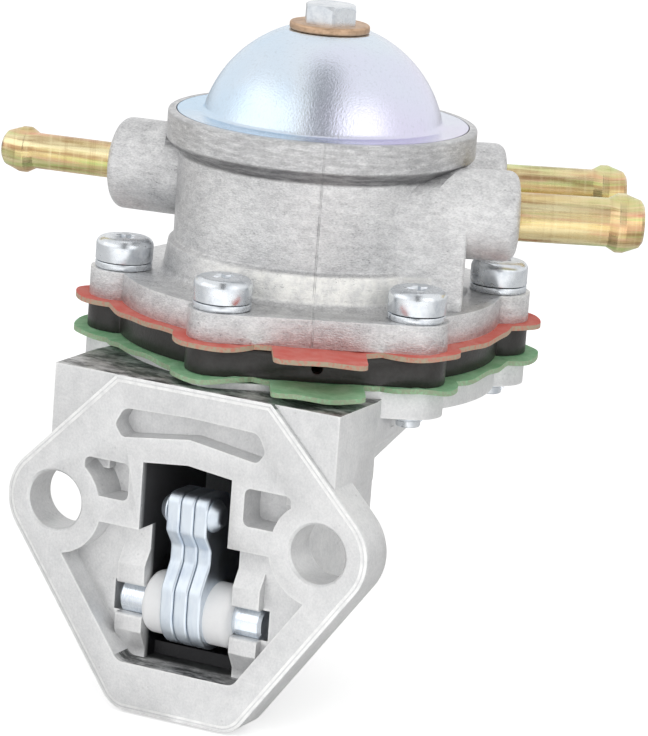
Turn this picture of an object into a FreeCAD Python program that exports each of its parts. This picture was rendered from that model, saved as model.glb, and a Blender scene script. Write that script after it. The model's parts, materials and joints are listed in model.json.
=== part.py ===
import FreeCAD, Part
import math
import os

# Mechanical fuel pump with a laminated rocker arm, for a flange on the engine block.
# Frame: origin at the centre of the mounting face, midway between the two bolt holes.
# X runs along the bolt holes, Y goes into the pump, Z is up and parallel to the diaphragm axis.
# All sizes are in millimetres.

os.makedirs("parts", exist_ok=True)
V = FreeCAD.Vector

# Mounting flange
bolt_spacing = 48.0
bolt_hole_r = 4.85
bolt_chamfer = 0.4
ear_r = 8.8
flange_thickness = 7.0
flange_top_z = 22.75
flange_top_half = 13.7
flange_bottom_z = -32.55
flange_bottom_half = 8.7
flange_bottom_corner_r = 5.0

# Diaphragm axis and the clamped stack, from the top down
axis_depth = 39.0
stack_top = 34.75
body_flange_t = 4.65
diaphragm_t = 0.8
spacer_t = 4.7
housing_rim_t = 4.35
rim_r = 31.6
lobe_r = 5.4
screw_circle_r = 31.13
screw_count = 6
screw_start_angle = 30.0
straight_side_angle = 300.0
chamber_r = 24.0
membrane_r = 34.0
membrane_lobe_r = 7.6
membrane_tab_reach = 41.4
membrane_tab_half = 7.5
vent_r = 0.9

# Screws and spring washers
screw_r = 2.5
screw_clearance = 0.2
screw_head_r = 4.75
screw_head_h = 3.9
screw_tip = 2.3
screw_hole_spare = 0.5
screw_turn_step = 77.0
screw_first_turn = 20.0
washer_first_turn = 200.0
recess_length = 5.4
recess_width = 1.25
recess_depth = 1.9
washer_r = 4.75
washer_t = 1.2
washer_split = 0.7

# Lower housing
pocket_depth = 4.5
pocket_top_z = -1.95
pocket_bottom_z = -24.45
pocket_side_wall = 5.3
pocket_hole_wall_r = 8.7
window_half = 8.1
window_top_z = 9.25
window_peak_z = 10.15
housing_wall = 4.6
housing_floor_t = 3.0
cavity_floor_z = -22.3
cavity_rear_floor_z = -15.5
cavity_rear_roof_z = 5.0
cavity_floor_end = 21.0
cavity_rear_start = 31.0
cavity_roof_end = 24.5
cavity_low_roof_start = 30.0
guide_floor_z = 8.0
chamber_step_z = 20.6
block_half = 25.8
block_front = 0.9
block_depth = 14.5
block_top_z = 22.55
block_bottom_z = 9.2
block_neck_drop = 9.0
bridge_half = 24.0
bridge_end = 26.5
bridge_t = 4.5
cone_top_r = 25.0
cone_flare = 0.86
pin_boss_half = 17.2
pin_boss_depth = 13.4
pin_boss_taper = 4.0

# Cored recesses beside and above the window
ear_pocket_top_z = 8.45
ear_pocket_bottom_z = 2.25
ear_pocket_inner_x = 10.5
ear_pocket_wall_r = 8.4
ear_pocket_draft = 1.0
ear_pocket_depth = 5.6
ear_pocket_end_gap = 5.2
ear_pocket_corner_r = 1.1
ear_step_x = 2.6
ear_step_width = 2.6
ear_step_height = 2.4
ear_step_rise = 2.0
slot_depth = 4.0
slot_top_z = 17.55
slot_peak_z = 17.95
slot_bottom_z = 12.7
slot_arch_z = 14.4
slot_end_z = 14.65
slot_top_half = 12.2
slot_end_half = 13.7
slot_bottom_half = 12.3
slot_corner_r = 1.2
slot_top_corner_r = 1.9

# Rocker arm, its pin and the lugs that hold it
pivot_depth = 6.6
pivot_z = -15.05
pin_r = 3.0
pin_half_length = 13.0
pin_seat_clearance = 0.03
running_clearance = 0.05
pin_slot_half = 14.2
lug_outer_x = 13.0
lug_front = 2.8
lug_top_z = -6.15
lug_bottom_z = -22.8
lug_top_facet = 2.7
lug_bottom_facet = 2.8
lip_depth = 5.0
lip_half_gap = 2.5
lip_centre_z = -14.75
plate_pitch = 2.5
plate_gap = 0.08
plate_edge_r = 0.4
boss_r = 6.1
nose_front = 0.8
nose_back = 9.4
nose_top_z = 5.0
tail_end_r = 3.0
tail_centre_z = -5.0
tail_start = 30.0
tail_top_start = 25.0
middle_tail_end = 34.6
underside_end = 22.0
shoulder_depth = 14.5
waist_sink = 2.1
hub_r = 3.75
bush_r = 5.2
bush_gap = 0.15
press_gap = 0.02
rivet_r = 1.5
rivet_head_r = 2.7
rivet_head_h = 1.7
rivet_head_land = 0.25
rivet_y = 3.5
rivet_z = 1.85
rear_rivet_y = 24.0
rear_rivet_z = -8.4

# Return spring under the tail of the arm
return_spring_y = 18.4
return_spring_r = 3.4
return_wire_r = 0.5
return_spring_turns = 3.5
spring_seat_sink = 0.8
arm_underside_z = -12.0

# Diaphragm rod and the discs that clamp the diaphragms
rod_r = 2.5
rod_head_r = 4.6
rod_head_h = 1.6
rod_neck_top_z = 2.0
rod_neck_half = 1.05
rod_hook_half = 3.7
rod_hook_t = 2.0
rod_hook_gap = 0.05
disc_r = 17.0
disc_t = 0.8
disc_lip = 1.1
spool_hub_r = 8.0
spool_inset = 1.5
main_spring_r = 7.6
main_wire_r = 0.8
main_spring_turns = 4.5
spring_pit_gap = 0.8
spring_pit_depth = 1.2
disc_room = 3.6
seal_r = 6.0
seal_t = 1.6
seal_lip_r = 1.2
seal_lip_h = 1.1

# Upper body
body_r = 23.3
foot_r = 26.0
foot_rise = 0.9
collar_low_r = 24.7
collar_r = 24.1
collar_height = 5.3
collar_ledge = 0.5
body_height = 27.1
band_r = 25.5
band_height = 4.7
band_chamfer = 2.2
pump_roof_z = 36.5
deck_z = 44.0
ledge_z = 58.0
inlet_chamber_r = 19.0
ledge_r = 20.4
rim_inner_r = 24.2
recess_sink = 1.65
post_r = 5.6
post_top_z = 55.0
gallery_roof_z = 56.0
gallery_wall_s = 3.0
gallery_r = 3.6
riser_r = 3.0

# Spigots: direction angle, offset across it, height above the stack top
right_angle = 30.0
right_offset = 12.5
right_height = 14.9
right_boss_r = 7.4
right_boss_end = 31.9
right_block_end = 23.5
right_block_corner_r = 1.0
boss_sink = 12.0
right_tube_r = 4.0
right_tube_tip = 52.5
left_angle = 190.0
left_height = 15.4
left_boss_r = 7.65
left_boss_end = 34.8
left_tube_r = 3.0
left_tube_tip = 55.2
tube_wall = 1.0
bead_length = 5.8
bead_back = 2.1
bead_height = 0.85
bead_land = 1.2
tube_seat = 8.0
boss_round = 1.8

# Valves
valve_offset = 10.5
valve_bore_r = 6.0
valve_seat_t = 1.5
valve_port_r = 2.6
valve_disc_r = 4.0
valve_disc_t = 1.2
cage_wall = 0.8
cage_floor_t = 1.0
cage_port_r = 1.0
cage_port_count = 4
valve_bore_spare = 2.5
valve_spring_r = 2.2
valve_wire_r = 0.3
valve_spring_turns = 3.0
valve_play = 0.02

# Dome, gasket, screen and centre bolt
cap_disc_r = 24.0
cap_sheet_t = 0.9
gasket_t = 0.75
gasket_inner_r = 20.9
dome_sphere_r = 20.3
dome_top_height = 41.5
dome_root_r = 1.0
cap_hole_r = 3.3
cap_bolt_r = 3.0
cap_bolt_seat_z = 48.0
cap_washer_r = 6.6
cap_washer_t = 1.3
cap_washer_clearance = 0.15
hex_across_flats = 8.0
hex_height = 2.8
hex_flange_r = 4.0
hex_flange_t = 0.3
screen_t = 0.5
screen_hoop = 1.9
screen_gap = 0.1
hoop_t = 0.7

# Levels that follow from the stack
fuel_top = stack_top - body_flange_t
spacer_top = fuel_top - diaphragm_t
safety_top = spacer_top - spacer_t
housing_top = safety_top - diaphragm_t
housing_rim_z = housing_top - housing_rim_t
body_top = stack_top + body_height
axis = V(0, axis_depth, 0)

planes = {
    "front": (lambda u, v, d: V(u, d, v), V(0, 1, 0)),
    "top": (lambda u, v, d: V(u, v, d), V(0, 0, 1)),
    "side": (lambda u, v, d: V(d, u, v), V(1, 0, 0)),
}


def point_at(centre, radius, angle):
    return (centre[0] + radius * math.cos(angle), centre[1] + radius * math.sin(angle))


def hull(circles):
    """Outline round circles (u, v, radius) that are given counter-clockwise."""
    spans = []
    for start, end in zip(circles, circles[1:] + circles[:1]):
        gap = math.hypot(end[0] - start[0], end[1] - start[1])
        heading = math.atan2(end[1] - start[1], end[0] - start[0])
        normal = heading - math.pi / 2 + math.asin((start[2] - end[2]) / gap)
        spans.append((point_at(start, start[2], normal), point_at(end, end[2], normal), normal))
    outline = []
    for circle, before, after in zip(circles, spans[-1:] + spans[:-1], spans):
        if circle[2] > 0:
            turn = (after[2] - before[2]) % (2 * math.pi)
            middle = point_at(circle, circle[2], before[2] + turn / 2)
            outline.append((before[1], middle, after[0]))
        outline.append((after[0], after[1]))
    return outline


def rounded(corners):
    """Closed outline through corners (u, v, radius), each rounded by its radius."""
    outline = []
    cuts = []
    count = len(corners)
    for index, (u, v, radius) in enumerate(corners):
        before = corners[index - 1]
        after = corners[(index + 1) % count]
        back = V(before[0] - u, before[1] - v, 0).normalize()
        ahead = V(after[0] - u, after[1] - v, 0).normalize()
        half = back.getAngle(ahead) / 2
        reach = radius / math.tan(half)
        middle = (back + ahead).normalize() * (radius / math.sin(half) - radius) if radius else V()
        cuts.append(((u + back.x * reach, v + back.y * reach), (u + middle.x, v + middle.y),
                     (u + ahead.x * reach, v + ahead.y * reach), radius))
    for index, (start, middle, end, radius) in enumerate(cuts):
        if radius:
            outline.append((start, middle, end))
        outline.append((end, cuts[(index + 1) % count][0]))
    return outline


def sharp(*corners):
    return rounded([(u, v, 0) for u, v in corners])


def face_of(outline, plane, level):
    place = planes[plane][0]
    edges = []
    for points in outline:
        ends = [place(u, v, level) for u, v in points]
        if ends[0].distanceToPoint(ends[-1]) > 1e-6:
            curve = Part.LineSegment(*ends) if len(ends) == 2 else Part.Arc(*ends)
            edges.append(curve.toShape())
    return Part.Face(Part.Wire(edges))


def prism(outline, plane, start, depth):
    return face_of(outline, plane, start).extrude(planes[plane][1] * depth)


def turned(outline, base=V(0, 0, 0), direction=V(0, 0, 1)):
    """Profile of (radius, height) turned about its own axis, then set at base along direction."""
    solid = face_of(outline, "front", 0).revolve(V(), V(0, 0, 1), 360)
    solid.Placement = FreeCAD.Placement(base, FreeCAD.Rotation(V(0, 0, 1), direction))
    return solid


def disc(radius, low, high, centre=(0, axis_depth)):
    return Part.makeCylinder(radius, high - low, V(centre[0], centre[1], low))


def rod_along(radius, start, direction, length):
    return Part.makeCylinder(radius, length, start, direction)


def fused(shapes):
    return shapes[0].multiFuse(shapes[1:]).removeSplitter() if len(shapes) > 1 else shapes[0]


def spring(radius, wire_r, base, height, turns):
    """Compression spring whose wire lies between base.z and base.z + height."""
    rise = height - 2 * wire_r
    path = Part.makeHelix(rise / turns, rise, radius)
    section = Part.Wire(Part.Circle(V(radius, 0, 0), V(0, 1, 0), wire_r).toShape())
    coil = Part.Wire(path.Edges).makePipeShell([section], True, True)
    coil.translate(base + V(0, 0, wire_r))
    return coil


def polar(angle, radius, across=0.0):
    """Point at a distance along an angle from the diaphragm axis, and across it."""
    turn = math.radians(angle)
    return V(radius * math.cos(turn) - across * math.sin(turn),
             axis_depth + radius * math.sin(turn) + across * math.cos(turn), 0)


def heading(angle):
    return V(math.cos(math.radians(angle)), math.sin(math.radians(angle)), 0)


screw_angles = [screw_start_angle + index * 360.0 / screw_count for index in range(screw_count)]


def scalloped(disc_radius, lobe_radius, low, high):
    """Round plate with a lobe at each screw and one straight side between two lobes."""
    parts = [disc(disc_radius, low, high)]
    for angle in screw_angles:
        place = polar(angle, screw_circle_r)
        parts.append(disc(lobe_radius, low, high, (place.x, place.y)))
    step = 180.0 / screw_count
    first = polar(straight_side_angle - step, screw_circle_r)
    second = polar(straight_side_angle + step, screw_circle_r)
    side = hull([(0, axis_depth, lobe_radius), (first.x, first.y, lobe_radius),
                 (second.x, second.y, lobe_radius)])
    parts.append(prism(side, "top", low, high - low))
    return fused(parts)


def at_screws(radius, low, high):
    """Upright cylinders of one radius at all the screws."""
    places = [polar(angle, screw_circle_r) for angle in screw_angles]
    return Part.makeCompound([disc(radius, low, high, (place.x, place.y)) for place in places])


def screw_holes(low, high):
    """Clearance holes from the level low up through the level high."""
    return at_screws(screw_r + screw_clearance, low, high + 1)


def membrane(low):
    """Diaphragm with larger lobes and the wide tab that stands out of the stack."""
    sheet = [disc(membrane_r, low, low + diaphragm_t)]
    for angle in screw_angles:
        place = polar(angle, screw_circle_r)
        sheet.append(disc(membrane_lobe_r, low, low + diaphragm_t, (place.x, place.y)))
    corner_r = 1.5
    corners = [polar(straight_side_angle, reach, across) for reach, across in (
        (chamber_r, -membrane_tab_half), (membrane_tab_reach, -membrane_tab_half),
        (membrane_tab_reach, membrane_tab_half), (chamber_r, membrane_tab_half))]
    tab = rounded([(corner.x, corner.y, corner_r) for corner in corners])
    sheet.append(prism(tab, "top", low, diaphragm_t))
    whole = fused(sheet).cut(screw_holes(low - 1, low + diaphragm_t))
    return whole.cut(disc(rod_r + running_clearance, low - 1, low + 2))


def flange_outline():
    half = bolt_spacing / 2
    bottom = flange_bottom_z + flange_bottom_corner_r
    top_corner_r = 0.8
    top = flange_top_z - top_corner_r
    return [(-flange_bottom_half, bottom, flange_bottom_corner_r),
            (flange_bottom_half, bottom, flange_bottom_corner_r),
            (half, 0, ear_r),
            (flange_top_half, top, top_corner_r),
            (-flange_top_half, top, top_corner_r),
            (-half, 0, ear_r)]


def pocket_outline():
    """Lower pocket: parallel to the flange's slanted sides, a wall's width inside them."""
    side = hull(flange_outline())
    foot, top = [span for span in side if len(span) == 2][1]
    run = V(top[0] - foot[0], top[1] - foot[1], 0)
    inward = V(-run.y, run.x, 0).normalize() * pocket_side_wall
    corners = []
    for level in (pocket_bottom_z, pocket_top_z):
        share = (level - foot[1] - inward.y) / run.y
        corners.append((foot[0] + inward.x + run.x * share, level))
    (low_x, low_z), (high_x, high_z) = corners
    corner_r = 2.0
    return rounded([(-low_x, low_z, corner_r), (low_x, low_z, corner_r),
                    (high_x, high_z, 0), (-high_x, high_z, 0)])


def mirror_x(shape):
    return shape.mirror(V(), V(1, 0, 0))


def both_sides(shape):
    return [shape, mirror_x(shape)]


def ear_pocket():
    """Cored recess between the window web and the bolt ear, with a step left in its corner."""
    half = bolt_spacing / 2
    outer = half - ear_pocket_end_gap
    round_r = ear_pocket_corner_r
    box = rounded([(ear_pocket_inner_x, ear_pocket_bottom_z, round_r), (outer, ear_pocket_bottom_z, 0),
                   (outer, ear_pocket_top_z, round_r), (ear_pocket_inner_x, ear_pocket_top_z, round_r)])
    recess = prism(box, "front", -1, ear_pocket_depth + 1)
    slope = ear_pocket_draft / ear_pocket_depth
    recess = recess.cut(Part.makeCone(ear_pocket_wall_r - slope, ear_pocket_wall_r + 2 * ear_pocket_draft,
                                      2 * ear_pocket_depth + 1, V(half, -1, 0), V(0, 1, 0)))
    corner = V(outer - ear_step_x, ear_pocket_depth - ear_step_rise, ear_pocket_top_z - ear_step_height)
    return recess.cut(Part.makeBox(ear_step_width, ear_step_rise, ear_step_height, corner))


def arched_slot():
    """Shallow slot above the window; its lower side is arched."""
    half = [(0, slot_arch_z, 0), (slot_bottom_half, slot_bottom_z, slot_corner_r),
            (slot_end_half, slot_end_z, slot_corner_r), (slot_top_half, slot_top_z, slot_top_corner_r),
            (0, slot_peak_z, 0)]
    other = [(-u, v, radius) for u, v, radius in reversed(half[1:-1])]
    return prism(rounded(half + other), "front", -1, slot_depth + 1)


def window():
    outline = sharp((-window_half, pocket_bottom_z), (window_half, pocket_bottom_z),
                    (window_half, window_top_z), (0, window_peak_z), (-window_half, window_top_z))
    return prism(outline, "front", -1, flange_thickness + 2.0)


def housing_cavity():
    """Room for the arm: the window's width, with a round end below the diaphragm rod."""
    start = flange_thickness - 0.5
    plan = rounded([(-window_half, start, 0), (window_half, start, 0), (window_half, axis_depth, 0),
                    (-window_half, axis_depth, 0)])
    lane = prism(plan, "top", cavity_floor_z - 5, 45)
    lane = lane.fuse(disc(window_half, cavity_floor_z - 5, cavity_floor_z + 40))
    far = axis_depth + window_half + 2
    side = sharp((start, cavity_floor_z), (cavity_floor_end, cavity_floor_z),
                 (cavity_rear_start, cavity_rear_floor_z), (far, cavity_rear_floor_z),
                 (far, cavity_rear_roof_z), (cavity_low_roof_start, cavity_rear_roof_z),
                 (cavity_roof_end, window_top_z), (start, window_top_z))
    return lane.common(prism(side, "side", -window_half - 1, 2 * window_half + 2))


def housing_shell():
    """Outside of the arm chamber: one wall outside the cavity, joined to the round rim by a cone."""
    outer = window_half + housing_wall
    start = flange_thickness - 1.0
    lane = prism(sharp((-outer, start), (outer, start), (outer, axis_depth), (-outer, axis_depth)),
                 "top", cavity_floor_z - 10, 60)
    lane = lane.fuse(disc(outer, cavity_floor_z - 10, cavity_floor_z + 50))
    low = cavity_floor_z - housing_floor_t
    rear = cavity_rear_floor_z - housing_floor_t
    far = axis_depth + outer + 2
    bend_r = 4.0
    side = rounded([(start, low, 0), (cavity_floor_end + 1, low, bend_r),
                    (cavity_rear_start + 1, rear, bend_r), (far, rear, 0),
                    (far, housing_rim_z + 1, 0), (start, housing_rim_z + 1, 0)])
    shell = lane.common(prism(side, "side", -outer - 1, 2 * outer + 2))
    cone_low = housing_rim_z - (cone_top_r - outer) / cone_flare
    cone = Part.makeCone(outer, cone_top_r, housing_rim_z - cone_low, V(0, axis_depth, cone_low))
    return [shell, cone]


def shelf_block():
    """Broad block behind the flange that carries the front of the round rim."""
    neck = window_half + housing_wall
    neck_z = block_bottom_z - block_neck_drop
    outline = rounded([(-neck, neck_z, 3), (neck, neck_z, 3),
                       (block_half, block_bottom_z, 2), (block_half, block_top_z, 0),
                       (-block_half, block_top_z, 0), (-block_half, block_bottom_z, 2)])
    block = prism(outline, "front", block_front, block_depth - block_front)
    bridge = prism(sharp((-block_half, block_depth - 1), (block_half, block_depth - 1),
                         (bridge_half, bridge_end), (-bridge_half, bridge_end)),
                   "top", housing_rim_z - bridge_t, block_top_z - housing_rim_z + bridge_t)
    return [block, bridge]


def pin_boss():
    low = lug_bottom_z
    high = lug_top_z + 1.5
    foot = pin_boss_half - pin_boss_taper
    outline = rounded([(-foot, low, 2), (foot, low, 2),
                       (pin_boss_half, pivot_z, 3), (pin_boss_half - 1, high, 3),
                       (-pin_boss_half + 1, high, 3), (-pin_boss_half, pivot_z, 3)])
    return prism(outline, "front", flange_thickness - 1, pin_boss_depth - flange_thickness + 1)


def pin_lugs():
    """Four lugs on the pocket floor; their lips close over the pin."""
    lip_top = lip_centre_z + lip_half_gap
    lip_low = lip_centre_z - lip_half_gap
    root = pocket_depth + 1.0
    upper = rounded([(root, lug_top_z, 0), (pocket_depth, lug_top_z, 0),
                     (lug_front, lug_top_z - lug_top_facet, 0.5), (lug_front, lip_top, 0.5),
                     (root, lip_top, 0)])
    lower = rounded([(root, lip_low, 0), (lug_front, lip_low, 0.5),
                     (lug_front, lug_bottom_z + lug_bottom_facet, 0.5), (pocket_depth, lug_bottom_z, 0),
                     (root, lug_bottom_z, 0)])
    width = lug_outer_x - window_half
    lugs = []
    for outline in (upper, lower):
        lugs += both_sides(prism(outline, "side", window_half, width))
    return lugs


def pin_slot():
    """Open seat for the pin: round at the back, with a narrower mouth between the lips."""
    seat_r = pin_r + pin_seat_clearance
    length = 2 * pin_slot_half
    seat = rod_along(seat_r, V(-pin_slot_half, pivot_depth, pivot_z), V(1, 0, 0), length)
    throat = Part.makeBox(length, pivot_depth - lip_depth, 2 * seat_r,
                          V(-pin_slot_half, lip_depth, pivot_z - seat_r))
    mouth = Part.makeBox(length, lip_depth + 1, 2 * lip_half_gap,
                         V(-pin_slot_half, 0, lip_centre_z - lip_half_gap))
    return [seat, throat, mouth]


def bolt_holes():
    tools = []
    for side in (-1, 1):
        centre = V(side * bolt_spacing / 2, 0, 0)
        mouth_r = bolt_hole_r + bolt_chamfer
        tools.append(rod_along(bolt_hole_r, centre + V(0, -1, 0), V(0, 1, 0), block_depth + 2))
        tools.append(Part.makeCone(mouth_r, bolt_hole_r, bolt_chamfer, centre, V(0, 1, 0)))
    return tools


def diaphragm_cup():
    """Hollow under the lower diaphragm, with the guide bore and the seal seat in its floor."""
    pit_r = main_spring_r + main_wire_r + spring_pit_gap
    pit_top = guide_floor_z + spring_pit_depth
    cup = turned(rounded([(0, guide_floor_z, 0), (pit_r, guide_floor_z, 0), (pit_r, pit_top, 0),
                          (disc_r + disc_room, chamber_step_z - 1.4, 1.5), (chamber_r, chamber_step_z, 0.8),
                          (chamber_r, housing_top + 1, 0), (0, housing_top + 1, 0)]), axis)
    bore = disc(rod_r + running_clearance, cavity_rear_roof_z - 2, guide_floor_z + 1)
    seal = disc(seal_r, guide_floor_z - seal_t, guide_floor_z + 1)
    return [cup, bore, seal]


def lower_housing():
    plate = prism(hull(flange_outline()), "front", 0, flange_thickness)
    front_edges = [edge for edge in plate.Edges
                   if abs(edge.BoundBox.YMax) < 1e-6 and abs(edge.BoundBox.YMin) < 1e-6]
    plate = plate.makeFillet(0.7, front_edges)
    shapes = [plate, pin_boss(), scalloped(rim_r, lobe_r, housing_rim_z, housing_top)]
    body = fused(shapes + housing_shell() + shelf_block())
    half = bolt_spacing / 2
    pocket = prism(pocket_outline(), "front", -1, pocket_depth + 1)
    for side in (-1, 1):
        wall = rod_along(pocket_hole_wall_r, V(side * half, -2, 0), V(0, 1, 0), pocket_depth + 4)
        pocket = pocket.cut(wall)
    tools = [pocket, arched_slot()] + both_sides(ear_pocket())
    body = body.cut(Part.makeCompound(tools))
    body = fused([body] + pin_lugs())
    seat = V(0, return_spring_y, cavity_floor_z - spring_seat_sink)
    hole_end = housing_rim_z - screw_tip - screw_hole_spare
    cuts = [window(), housing_cavity(), screw_holes(hole_end, housing_top)]
    cuts += pin_slot() + bolt_holes() + diaphragm_cup()
    cuts.append(Part.makeCylinder(return_spring_r + 2 * return_wire_r, spring_seat_sink + 1, seat))
    for tool in cuts:
        body = body.cut(tool)
    return body.removeSplitter()


def boss(angle, across, height, radius, end):
    """Boss for a hose tube, from inside the wall of the upper body to its rounded end."""
    start = body_r - boss_sink
    base = polar(angle, start, across) + V(0, 0, stack_top + height)
    length = end - start
    return turned(rounded([(0, 0, 0), (radius, 0, 0), (radius, length, boss_round), (0, length, 0)]),
                  base, heading(angle))


def upper_body():
    level = stack_top
    band_low = body_top - band_height
    collar_top = level + collar_height
    profile = rounded([(0, level - 1, 0), (foot_r, level - 1, 0), (foot_r, level, 0),
                       (collar_low_r, level + foot_rise, 1.2), (collar_r, collar_top, 0.4),
                       (body_r, collar_top + collar_ledge, 0.5),
                       (body_r, band_low - band_chamfer, 0.8), (band_r, band_low, 0.5),
                       (band_r, body_top, 0.5), (0, body_top, 0)])
    shapes = [turned(profile, axis), scalloped(rim_r, lobe_r, fuel_top, stack_top)]
    for across in (-right_offset, right_offset):
        shapes.append(boss(right_angle, across, right_height, right_boss_r, right_boss_end))
    shapes.append(boss(left_angle, 0, left_height, left_boss_r, left_boss_end))
    half = right_offset + right_boss_r
    root = body_r - boss_sink
    corners = [polar(right_angle, reach, across) for reach, across in (
        (root, -half), (right_block_end, -half), (right_block_end, half), (root, half))]
    plan = rounded([(corner.x, corner.y, right_block_corner_r) for corner in corners])
    block = prism(plan, "top", level, right_height)
    body = fused(shapes + [block])
    for tool in upper_body_hollows():
        body = body.cut(tool)
    return body.removeSplitter()


def upper_body_hollows():
    level = body_top - recess_sink
    recess = disc(rim_inner_r, level, body_top + 1)
    filter_room = disc(ledge_r, ledge_z, level + 1)
    over_gallery = disc(inlet_chamber_r, gallery_roof_z, ledge_z + 1)
    far = 2 * inlet_chamber_r
    corners = [polar(right_angle, reach, across) for reach, across in (
        (-far, -far), (-gallery_wall_s, -far), (-gallery_wall_s, far), (-far, far))]
    half_plan = prism(sharp(*[(corner.x, corner.y) for corner in corners]), "top", deck_z, 20)
    inlet_room = disc(inlet_chamber_r, deck_z, ledge_z + 1).common(half_plan)
    post = disc(post_r, deck_z - 1, post_top_z)
    inlet_room = inlet_room.cut(post)
    pump_room = disc(chamber_r, fuel_top - 1, pump_roof_z)
    bolt_bore = disc(cap_bolt_r, cap_bolt_seat_z - 2, body_top + 1)
    inlet = polar(right_angle, -valve_offset)
    outlet = polar(right_angle, valve_offset)
    valve_bores = [disc(valve_bore_r, pump_roof_z - 1, deck_z + 1, (inlet.x, inlet.y)),
                   disc(valve_bore_r, pump_roof_z - 1, deck_z + valve_bore_spare, (outlet.x, outlet.y))]
    gallery_z = stack_top + right_height
    gallery_start = polar(right_angle, valve_offset, -right_offset - 1) + V(0, 0, gallery_z)
    gallery = rod_along(gallery_r, gallery_start, heading(right_angle + 90), 2 * right_offset + 2)
    tubes = []
    for across in (-right_offset, right_offset):
        start = polar(right_angle, valve_offset, across) + V(0, 0, gallery_z)
        tubes.append(rod_along(right_tube_r - tube_wall, start, heading(right_angle), 30))
        seat = polar(right_angle, right_boss_end - tube_seat, across) + V(0, 0, gallery_z)
        tubes.append(rod_along(right_tube_r, seat, heading(right_angle), tube_seat + 2))
    riser = disc(riser_r, deck_z, gallery_z, (outlet.x, outlet.y))
    left_z = V(0, 0, stack_top + left_height)
    tubes.append(rod_along(left_tube_r - tube_wall, polar(left_angle, inlet_chamber_r - 4) + left_z,
                           heading(left_angle), 20))
    tubes.append(rod_along(left_tube_r, polar(left_angle, left_boss_end - tube_seat) + left_z,
                           heading(left_angle), tube_seat + 2))
    return [recess, filter_room, over_gallery, inlet_room, pump_room, bolt_bore, gallery, riser,
            screw_holes(fuel_top - 1, stack_top)] + valve_bores + tubes


def spigot(angle, across, height, radius, boss_end, tip):
    """Steel hose tube with a rolled bead near its tip, pressed into its boss."""
    start = boss_end - tube_seat
    length = tip - start
    bore = radius - tube_wall
    bead_start = length - bead_length
    crest = radius + bead_height
    crest_low = bead_start + bead_back - bead_land / 2
    crest_high = crest_low + bead_land
    lip = 0.5
    profile = rounded([(bore, 0, 0), (radius, 0, 0), (radius, bead_start, 0), (crest, crest_low, 0.4),
                       (crest, crest_high, 0.4), (radius - 0.1, length - lip, 0.4),
                       (bore + 0.2, length, 0), (bore, length - lip, 0)])
    base = polar(angle, start, across) + V(0, 0, stack_top + height)
    return turned(profile, base, heading(angle))


def spacer_ring():
    ring = scalloped(rim_r, lobe_r, safety_top, spacer_top)
    ring = ring.cut(disc(chamber_r, safety_top - 1, spacer_top + 1))
    middle = axis + V(0, 0, (safety_top + spacer_top) / 2)
    vent = rod_along(vent_r, middle, heading(straight_side_angle), membrane_tab_reach)
    return ring.cut(screw_holes(safety_top - 1, spacer_top)).cut(vent)


def flange_screw():
    """Pan-head screw with a cross recess; its origin is under the head."""
    body = turned(rounded([(0, 0, 0), (screw_head_r, 0, 0.3), (screw_head_r, screw_head_h - 0.5, 1.3),
                           (screw_head_r - 2.0, screw_head_h, 0.8), (0, screw_head_h, 0)]))
    length = washer_t + stack_top - housing_rim_z + screw_tip
    shank = turned(rounded([(0, -length, 0), (screw_r - 0.5, -length, 0), (screw_r, -length + 0.5, 0),
                            (screw_r, 1, 0), (0, 1, 0)]))
    head = fused([body, shank])
    for turn in (0, 90):
        bar = Part.makeBox(recess_length, recess_width, recess_depth + 1,
                           V(-recess_length / 2, -recess_width / 2, screw_head_h - recess_depth))
        bar.rotate(V(), V(0, 0, 1), turn)
        head = head.cut(bar)
    return head


def spring_washer():
    bore = screw_r + screw_clearance
    ring = turned(sharp((bore, 0), (washer_r, 0), (washer_r, washer_t), (bore, washer_t)))
    gap = Part.makeBox(washer_r + 1, washer_split, washer_t + 2, V(0, -washer_split / 2, -1))
    gap.rotate(V(), V(1, 0, 0), 20)
    return ring.cut(gap)


def around(shape, level, first_turn):
    """Copies of a fastener at every screw position, each turned by its own amount."""
    copies = []
    for index, angle in enumerate(screw_angles):
        copy = shape.copy()
        copy.rotate(V(), V(0, 0, 1), first_turn + screw_turn_step * index)
        copy.translate(polar(angle, screw_circle_r) + V(0, 0, level))
        copies.append(copy)
    return Part.makeCompound(copies)


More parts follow.
